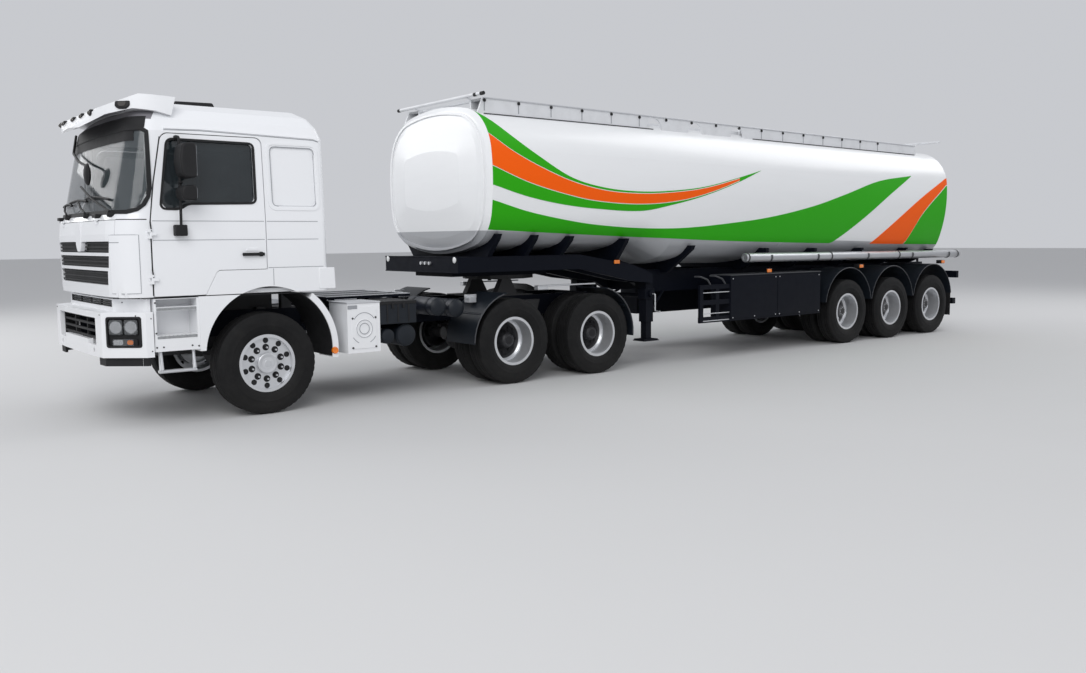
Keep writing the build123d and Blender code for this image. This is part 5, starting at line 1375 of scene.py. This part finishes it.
class TANKER_OT_trailer(bpy.types.Operator):
    """Markers, reflectors, couplings, locker doors, landing gear, hose tubes, guards and mudflaps"""

    bl_idname = "tanker.trailer"
    bl_label = "Trailer fittings"

    def execute(self, context):
        forms = {}

        def form(name, x=0.0, side=1):
            """The form gathered under a name, set to a station and a side."""
            return forms.setdefault(name, Form()).at(x, side)

        front, locker, leg = PIN_X + 1.103, 1.215, PIN_X - 2.237
        x0, x1 = PIN_X - 5.787, PIN_X - 3.573
        half = (x1 - x0) / 2
        tube_y, tube_front, tube_rear, radius = 1.165, PIN_X - 3.960, PIN_X - 10.130, 0.070
        back, last = PIN_X - 10.155, TRAILER_X[2]
        guard = Skin("trailer_guards", "side_lockers", "trailer_frame")
        braces, edges, curls, tandem_edges = [], [], [], []

        def tube_z(x):
            return 1.500 - 0.040 * (tube_front - x) / (tube_front - tube_rear)

        for name, side in SIDES:
            for x, y, z in ((1.000, 0.902, 1.487), (-1.927, 1.217, 1.290),
                            (-4.338, 1.245, 1.300), (-6.950, 1.245, 1.318)):
                form("markers", x, side).box((-0.050, 0.050), (y, y + 0.020), about(z, 0.026))
            for x, z in ((-4.338, 1.300), (-6.950, 1.318)):
                form("brackets", x, side).box((-0.060, 0.060), (1.150, 1.246), about(z, 0.032))
            form("brackets", 0, side).box((-1.965, -1.889), (1.195, 1.218), (1.235, 1.322))
            form("reflectors", front, side).lathe(
                [(0, 0), (0.010, 0), (0.010, 0.030), (0.006, 0.038), (-0.006, 0.038)], (0, 0.830, 1.565), 28, "X")
            # lockers: doors, top flange and studs
            doors = Form(x0, side)
            for shift in (0, half):
                doors.box((shift + 0.008, shift + half - 0.008), (locker - 0.002, locker + 0.006), (0.585, 1.205))
            doors.make("locker_doors_" + name, "trailer", "chassis", "chassis", 0.004)
            Form(0, side).box((x0 - 0.006, x1 + 0.006), (0.815, locker + 0.010), (1.236, 1.250)).make(
                "locker_flange_" + name, "trailer", "bead", "chassis", 0.003)
            spots = ((0.05, 0.602), (half / 2, 0.602), (half - 0.05, 0.602), (0.05, 1.190), (half - 0.05, 1.190))
            spots = [(shift + x, locker + 0.006, z) for shift in (0, half) for x, z in spots]
            studs("locker_studs_" + name, "trailer", placed(spots, x0, side), (0, side, 0), 0.009, 0.010, 10,
                  "steel", "steel")
            # landing gear: gearbox, foot, shaft end and brace
            gear = Form(PIN_X, side).box((-2.330, -2.145), (0.690, 0.858), (0.930, 1.080))
            gear.box((-2.390, -2.085), (0.650, 0.895), (0.322, 0.336))
            gear.at(leg, side).lathe([(-0.010, 0), (-0.010, 0.052), (0.046, 0.046), (0.052, 0)], (0, 0.858, 1.010), 24)
            gear.make("landing_gearbox_" + name, "trailer", "chassis", "chassis", 0.006)
            braces.append([(leg, side * 0.772, 0.640), (PIN_X - 2.900, side * 0.470, 1.030)])
            # hose tubes with blunt ends, joint rings and the hooks that hold them
            profile = [(tube_front + 0.006, 0.030), (tube_front + 0.014, 0.034), (tube_front + 0.014, 0.060),
                       (tube_front, radius), (tube_rear, radius), (tube_rear - 0.010, radius * 0.93)]
            rings = [[(x, *p) for p in circle(tube_y, tube_z(x), r, 36)] for x, r in profile]
            tips = [[(x, tube_y, tube_z(x))] for x in (tube_front + 0.006, tube_rear - 0.012)]
            form("tubes", 0, side).skin([tips[0], *rings, tips[1]])
            for station in (-3.990, -6.080, -8.080, -10.060):
                x = PIN_X + station
                form("rings", x, side).lathe(hoop(0.014, 0.066, 0.0745), (0, tube_y, tube_z(x)), 36, "X")
            for station in (-4.520, -5.710, -7.120, -8.500, -9.740):
                x = PIN_X + station
                curve = arc(tube_y, tube_z(x), radius - 0.002, range(-180, 31, 15))
                curve += arc(tube_y, tube_z(x), radius + 0.007, range(30, -181, -15))
                form("hooks", x, side).prism(curve, (-0.018, 0.018), "X")
            # bright strips along the side guard's bars, painted highlights on their edges, and the curved tubes ahead
            # of the lockers
            hit = guard.from_side(PIN_X - 2.985, 0.640, side)
            if not hit:
                raise RuntimeError("no side guard beside the front post")
            face = abs(hit[0].y)
            # painted highlights along the bars' edges
            for z in (1.000, 0.690, 0.582):
                form("bars", PIN_X, side).box((-3.560, -2.985), (face - 0.010, face + 0.002), about(z, 0.006))
            curl = [(0, 1.00, 1.235), (-0.02, 1.10, 1.235), (-0.10, 1.165, 1.190), (-0.16, 1.185, 1.090)]
            curls += [placed(curl, PIN_X - shift, side) for shift in (3.020, 3.350)]
            # rolled edges of the mudguards
            edges += [[(u, side * y, v) for u, v in arc(x, 0.633, 0.650, range(9, 172, 9))]
                      for x in TRAILER_X for y in (0.594, 1.232)]
            tandem_edges += [[(u, side * 1.213, v) for u, v in arc(AXLE_X - shift, WHEEL_Z, 0.622, turns)]
                             for shift, turns in ((3.243, range(2, 78, 8)), (4.643, range(104, 187, 8)))]
            # mudflaps, their rails and the rear lamps
            form("flaps", last, side).box((-0.648, -0.640), (0.600, 1.225), (0.300, 0.760))
            form("rails", last, side).box((-0.652, -0.636), (0.590, 1.235), (0.735, 0.775))
            for i, word in enumerate(("red", "amber", "red")):
                form(word, back, side).lathe([(-0.012, 0), (-0.012, 0.030), (-0.006, 0.052), (0.010, 0.056)],
                                             (0, 1.100 - 0.140 * i, 1.065), 28, "X")
            form("red", back, side).box((-0.004, -0.010), (0.700, 1.100), (0.545, 0.570))
        for z in ((1.590, 1.606), (1.400, 1.414)):
            form("lips", front).box((-0.020, 0.006), (-0.905, 0.905), z)
        form("plate", back).box((-0.008, 0), (-0.260, 0.260), (1.005, 1.125))
        for word, *rest in (
            ("markers", "side_markers", "trailer", "amber", "lamp", 0.006),
            ("brackets", "marker_brackets", "trailer", "plastic", "trim", 0.004),
            ("reflectors", "front_reflectors", "trailer", "white_lens", "lamp"),
            ("lips", "deck_lips", "trailer", "chassis", "chassis", 0.003),
            ("tubes", "hose_tube_shells", "trailer", "tube", "tube", 0, ["hose_tubes"]),
            ("rings", "hose_tube_rings", "trailer", "cast", "steel"),
            ("hooks", "hose_tube_hooks", "trailer", "bead", "tube"),
            ("bars", "side_guard_bars", "trailer", "steel", "chassis", 0.002),
            ("flaps", "trailer_mudflaps", "trailer", "seal", "trim", 0.002),
            ("rails", "mudflap_rails", "trailer", "steel", "steel", 0.003),
            ("red", "rear_red_lamps", "trailer", "red", "lamp"),
            ("amber", "rear_amber_lamps", "trailer", "amber", "lamp"),
            ("plate", "plate_blank", "trailer", "steel", "steel", 0.003),
        ):
            forms[word].make(*rest)
        studs("air_couplings", "trailer", [(front + 0.012, y, 1.520) for y in (0.06, 0.16, 0.26)], (1, 0, 0),
              0.022, 0.030, 12, "steel", "steel")
        crank = [(leg, 0.900, 1.010), (leg, 0.960, 1.010), (leg, 0.960, 0.760), (leg, 1.060, 0.760)]
        pipes("landing_crank", "trailer", [crank], 0.011, "steel", "steel", bend=0.02)
        pipes("landing_braces", "trailer", braces, 0.020, "chassis", "chassis")
        pipes("mudguard_edges", "trailer", edges, 0.008, "bead", "chassis", sides=6)
        pipes("side_guard_tubes", "trailer", curls, 0.013, "bead", "chassis", bend=0.05, sides=8)
        pipes("tandem_guard_edges", "tractor", tandem_edges, 0.009, "bead", "chassis", sides=6)
        # raised ring on the tank's front head, a little inside its rim
        skin, middle, path = Skin("tank"), 2.420, []
        for turn in spread(0, 360, 72)[:-1]:
            out = Vector((0, math.cos(math.radians(turn)), math.sin(math.radians(turn))))
            rim = skin.meet(Vector((3.200, 0, middle)) + out * 3, -out)[0]
            path.append((skin.from_front(rim.y * 0.925, middle + (rim.z - middle) * 0.925)[0], Vector((1, 0, 0))))
        Form().strip(path, 0.034, 0.022, closed=True).make("tank_head_ring", "trailer", "tank", "tank", angle=60)
        return {"FINISHED"}


class TANKER_OT_roof(bpy.types.Operator):
    """Walkway tread, bolts, joints, edges and the painted shadow line at its foot, manhole lids and front bar knobs"""

    bl_idname = "tanker.roof"
    bl_label = "Tank roof"

    def execute(self, context):
        def top(x):
            return 3.572 - 0.110 * (PIN_X + 0.690 - x) / 9.690

        # the walkway's front end, its rear end, and the gap between its two lengths
        front, gap_front, gap_rear, rear = PIN_X + 0.690, PIN_X - 2.250, PIN_X - 4.420, PIN_X - 9.000
        bolts, facing, skin = [], [], Skin("tank")
        ribs, flange, base, grate, lids, clips = (Form() for _ in range(6))

        def bar(form, stations, section):
            """A bar along the walkway from its section of (across, drop)."""
            form.skin([[(x, y, top(x) - drop) for y, drop in section] for x in stations])

        for name, side in SIDES:
            for form in (ribs, flange, base, grate):
                form.at(0, side)
            x = front - 0.02
            while x > rear + 0.70:
                bolts.append((x, side * 0.902, top(x) - 0.038))
                facing.append((0, side, 0))
                if not gap_rear < x < gap_front + 0.1:
                    ribs.box(about(x, 0.006), (0.898, 0.9035), (top(x) - 0.165, top(x) - 0.060))
                x -= 0.53
            # dark strip where the walkway's side plates meet the tank: painted shadow line
            for a, b in ((front - 0.01, gap_front), (gap_rear, rear + 0.01)):
                spots = [(x, skin.meet((x, side * 0.905, 4.2), (0, 0, -1))[0].z) for x in spread(a, b, 12)]
                base.skin([[(x, y, z + rise) for y, rise in
                            ((0.898, -0.012), (0.908, -0.012), (0.908, 0.013), (0.898, 0.013))] for x, z in spots])
            bar(flange, (front, rear), ((0.862, 0.014), (0.914, 0.014), (0.914, -0.001), (0.862, -0.001)))
            for ends in ((front, gap_front), (gap_rear, rear)):
                bar(grate, ends, ((0.640, 0.030), (0.870, 0.030), (0.870, 0.008), (0.640, 0.008)))
        studs("walkway_bolts", "trailer", bolts, facing, 0.021, 0.020, 12, "seal", "steel")
        for station in (-0.600, -2.600, -3.340, -4.080, -5.900, -7.900):
            x, clip_circle = PIN_X + station, 0.276
            z = top(x)
            lids.lathe([(0.016, 0), (0.014, 0.100), (0.006, 0.200), (0.0, 0.262), (-0.020, 0.288), (-0.034, 0.288),
                        (-0.034, 0)], (x, 0, z), 40, "Z")
            lids.lathe([(0.032, 0), (0.032, 0.050), (0.018, 0.060), (0.006, 0.060)], (x + 0.10, 0.05, z), 20, "Z")
            for u, v in arc(x, 0, clip_circle, range(20, 380, 60)):
                clips.box(about(u, 0.02), about(v, 0.02), (z - 0.040, z + 0.014))
        for form, name, finish, slot, bevel in (
            (ribs, "walkway_ribs", "line", "steel", 0), (base, "walkway_foot_shadow", "bead", "steel", 0),
            (flange, "walkway_flanges", "steel", "steel", 0.003), (grate, "walkway_tread", "plate", "steel", 0),
            (lids, "manhole_lids", "cab", "tank", 0), (clips, "manhole_clips", "steel", "steel", 0.004),
        ):
            form.make(name, "trailer", finish, slot, bevel)
        knobs = Form(PIN_X)
        for y in (-1.000, 0.860, 1.005):
            knobs.lathe(hoop(0.030, 0, 0.0235), (0.770, y, 3.5985), 20)
        knobs.make("front_bar_knobs", "trailer", "plastic", "trim")
        return {"FINISHED"}


class TANKER_OT_stage(bpy.types.Operator):
    """Floor, lamps, world and camera"""

    bl_idname = "tanker.stage"
    bl_label = "Stage"

    def execute(self, context):
        scene, settings = context.scene, context.scene.tanker_stage
        scene.view_settings.view_transform = "Standard"

        def stand(name, data, place=(0, 0, 0), turn=None):
            thing = bpy.data.objects.new(name, data)
            thing.location = place
            if turn:
                thing.rotation_mode = "QUATERNION"
                thing.rotation_quaternion = turn
            scene.collection.objects.link(thing)
            return thing

        slab, finish = Form().box((-120, 120), (-120, 120), (-0.05, -0.0005)), Finish("stage_floor")
        grain = finish.noise(0.8, 6.0)
        mesh = bpy.data.meshes.new("stage_floor")
        mesh.from_pydata(slab.points, [], slab.faces)
        mesh.materials.append(finish.look(finish.faded(grain * 0.15, settings.floor, 0.9), 0.85 + 0.05 * grain))
        stand("stage_floor", mesh)
        scene.world = bpy.data.worlds.new("soft_sky")
        scene.world.use_nodes = True
        back = scene.world.node_tree.nodes["Background"]
        back.inputs["Color"].default_value = (0.93, 0.95, 1.0, 1.0)
        back.inputs["Strength"].default_value = settings.sky
        for name, place, aim, size, power in (
            ("key_lamp", (17, 15, 14), (1, 0, 1.5), 14, settings.key_power),
            ("fill_lamp", (12, -12, 10), (3, 0, 1.5), 12, settings.fill_power),
            ("back_lamp", (-16, 4, 13), (-3, 0, 2), 12, settings.fill_power),
        ):
            lamp = bpy.data.lights.new(name, "AREA")
            lamp.energy, lamp.size, lamp.shape = power, size, "SQUARE"
            stand(name, lamp, place, (Vector(aim) - Vector(place)).to_track_quat("-Z", "Y"))
        yaw, pitch, roll = math.radians(-128.167), math.radians(-5.7095), math.radians(-0.5636)
        ahead = Vector((math.cos(yaw) * math.cos(pitch), math.sin(yaw) * math.cos(pitch), math.sin(pitch)))
        level = ahead.cross(Vector((0, 0, 1))).normalized()
        upright = level.cross(ahead)
        right = level * math.cos(roll) + upright * math.sin(roll)
        up = upright * math.cos(roll) - level * math.sin(roll)
        lens = bpy.data.cameras.new("photo_camera")
        lens.lens, lens.sensor_width, lens.clip_end = 32.34, 36.0, 400.0
        turn = Matrix((right, up, -ahead)).transposed().to_quaternion()
        scene.camera = stand("photo_camera", lens, (AXLE_X + 4.026, 11.014, 1.815), turn)
        return {"FINISHED"}


class TANKER_PT_panel(bpy.types.Panel):
    """Lists the steps and settings of the truck's dressing"""

    bl_idname = "TANKER_PT_panel"
    bl_label = "Tanker truck"
    bl_space_type = "VIEW_3D"
    bl_region_type = "UI"
    bl_category = "Tanker"

    def draw(self, context):
        for operator in OPERATORS:
            self.layout.operator(operator.bl_idname)
        for group in (context.scene.tanker_colours, context.scene.tanker_sizes, context.scene.tanker_stage):
            for name in group.bl_rna.properties.keys():
                if name not in ("rna_type", "name"):
                    self.layout.prop(group, name)


OPERATORS = (
    TANKER_OT_finishes,
    TANKER_OT_livery,
    TANKER_OT_tyres,
    TANKER_OT_wheels,
    TANKER_OT_cab_skin,
    TANKER_OT_doors,
    TANKER_OT_front,
    TANKER_OT_bumper,
    TANKER_OT_steps,
    TANKER_OT_interior,
    TANKER_OT_trailer,
    TANKER_OT_roof,
    TANKER_OT_stage,
)
GROUPS = (TankerColours, TankerSizes, TankerStage)


def register():
    for cls in GROUPS + OPERATORS + (TANKER_PT_panel,):
        bpy.utils.register_class(cls)
    bpy.types.Scene.tanker_colours = bpy.props.PointerProperty(type=TankerColours)
    bpy.types.Scene.tanker_sizes = bpy.props.PointerProperty(type=TankerSizes)
    bpy.types.Scene.tanker_stage = bpy.props.PointerProperty(type=TankerStage)


def unregister():
    for name in ("tanker_colours", "tanker_sizes", "tanker_stage"):
        delattr(bpy.types.Scene, name)
    for cls in reversed(GROUPS + OPERATORS + (TANKER_PT_panel,)):
        bpy.utils.unregister_class(cls)


def main():
    register()
    for operator in OPERATORS:
        group, name = operator.bl_idname.split(".")
        getattr(getattr(bpy.ops, group), name)()


if __name__ == "__main__":
    main()
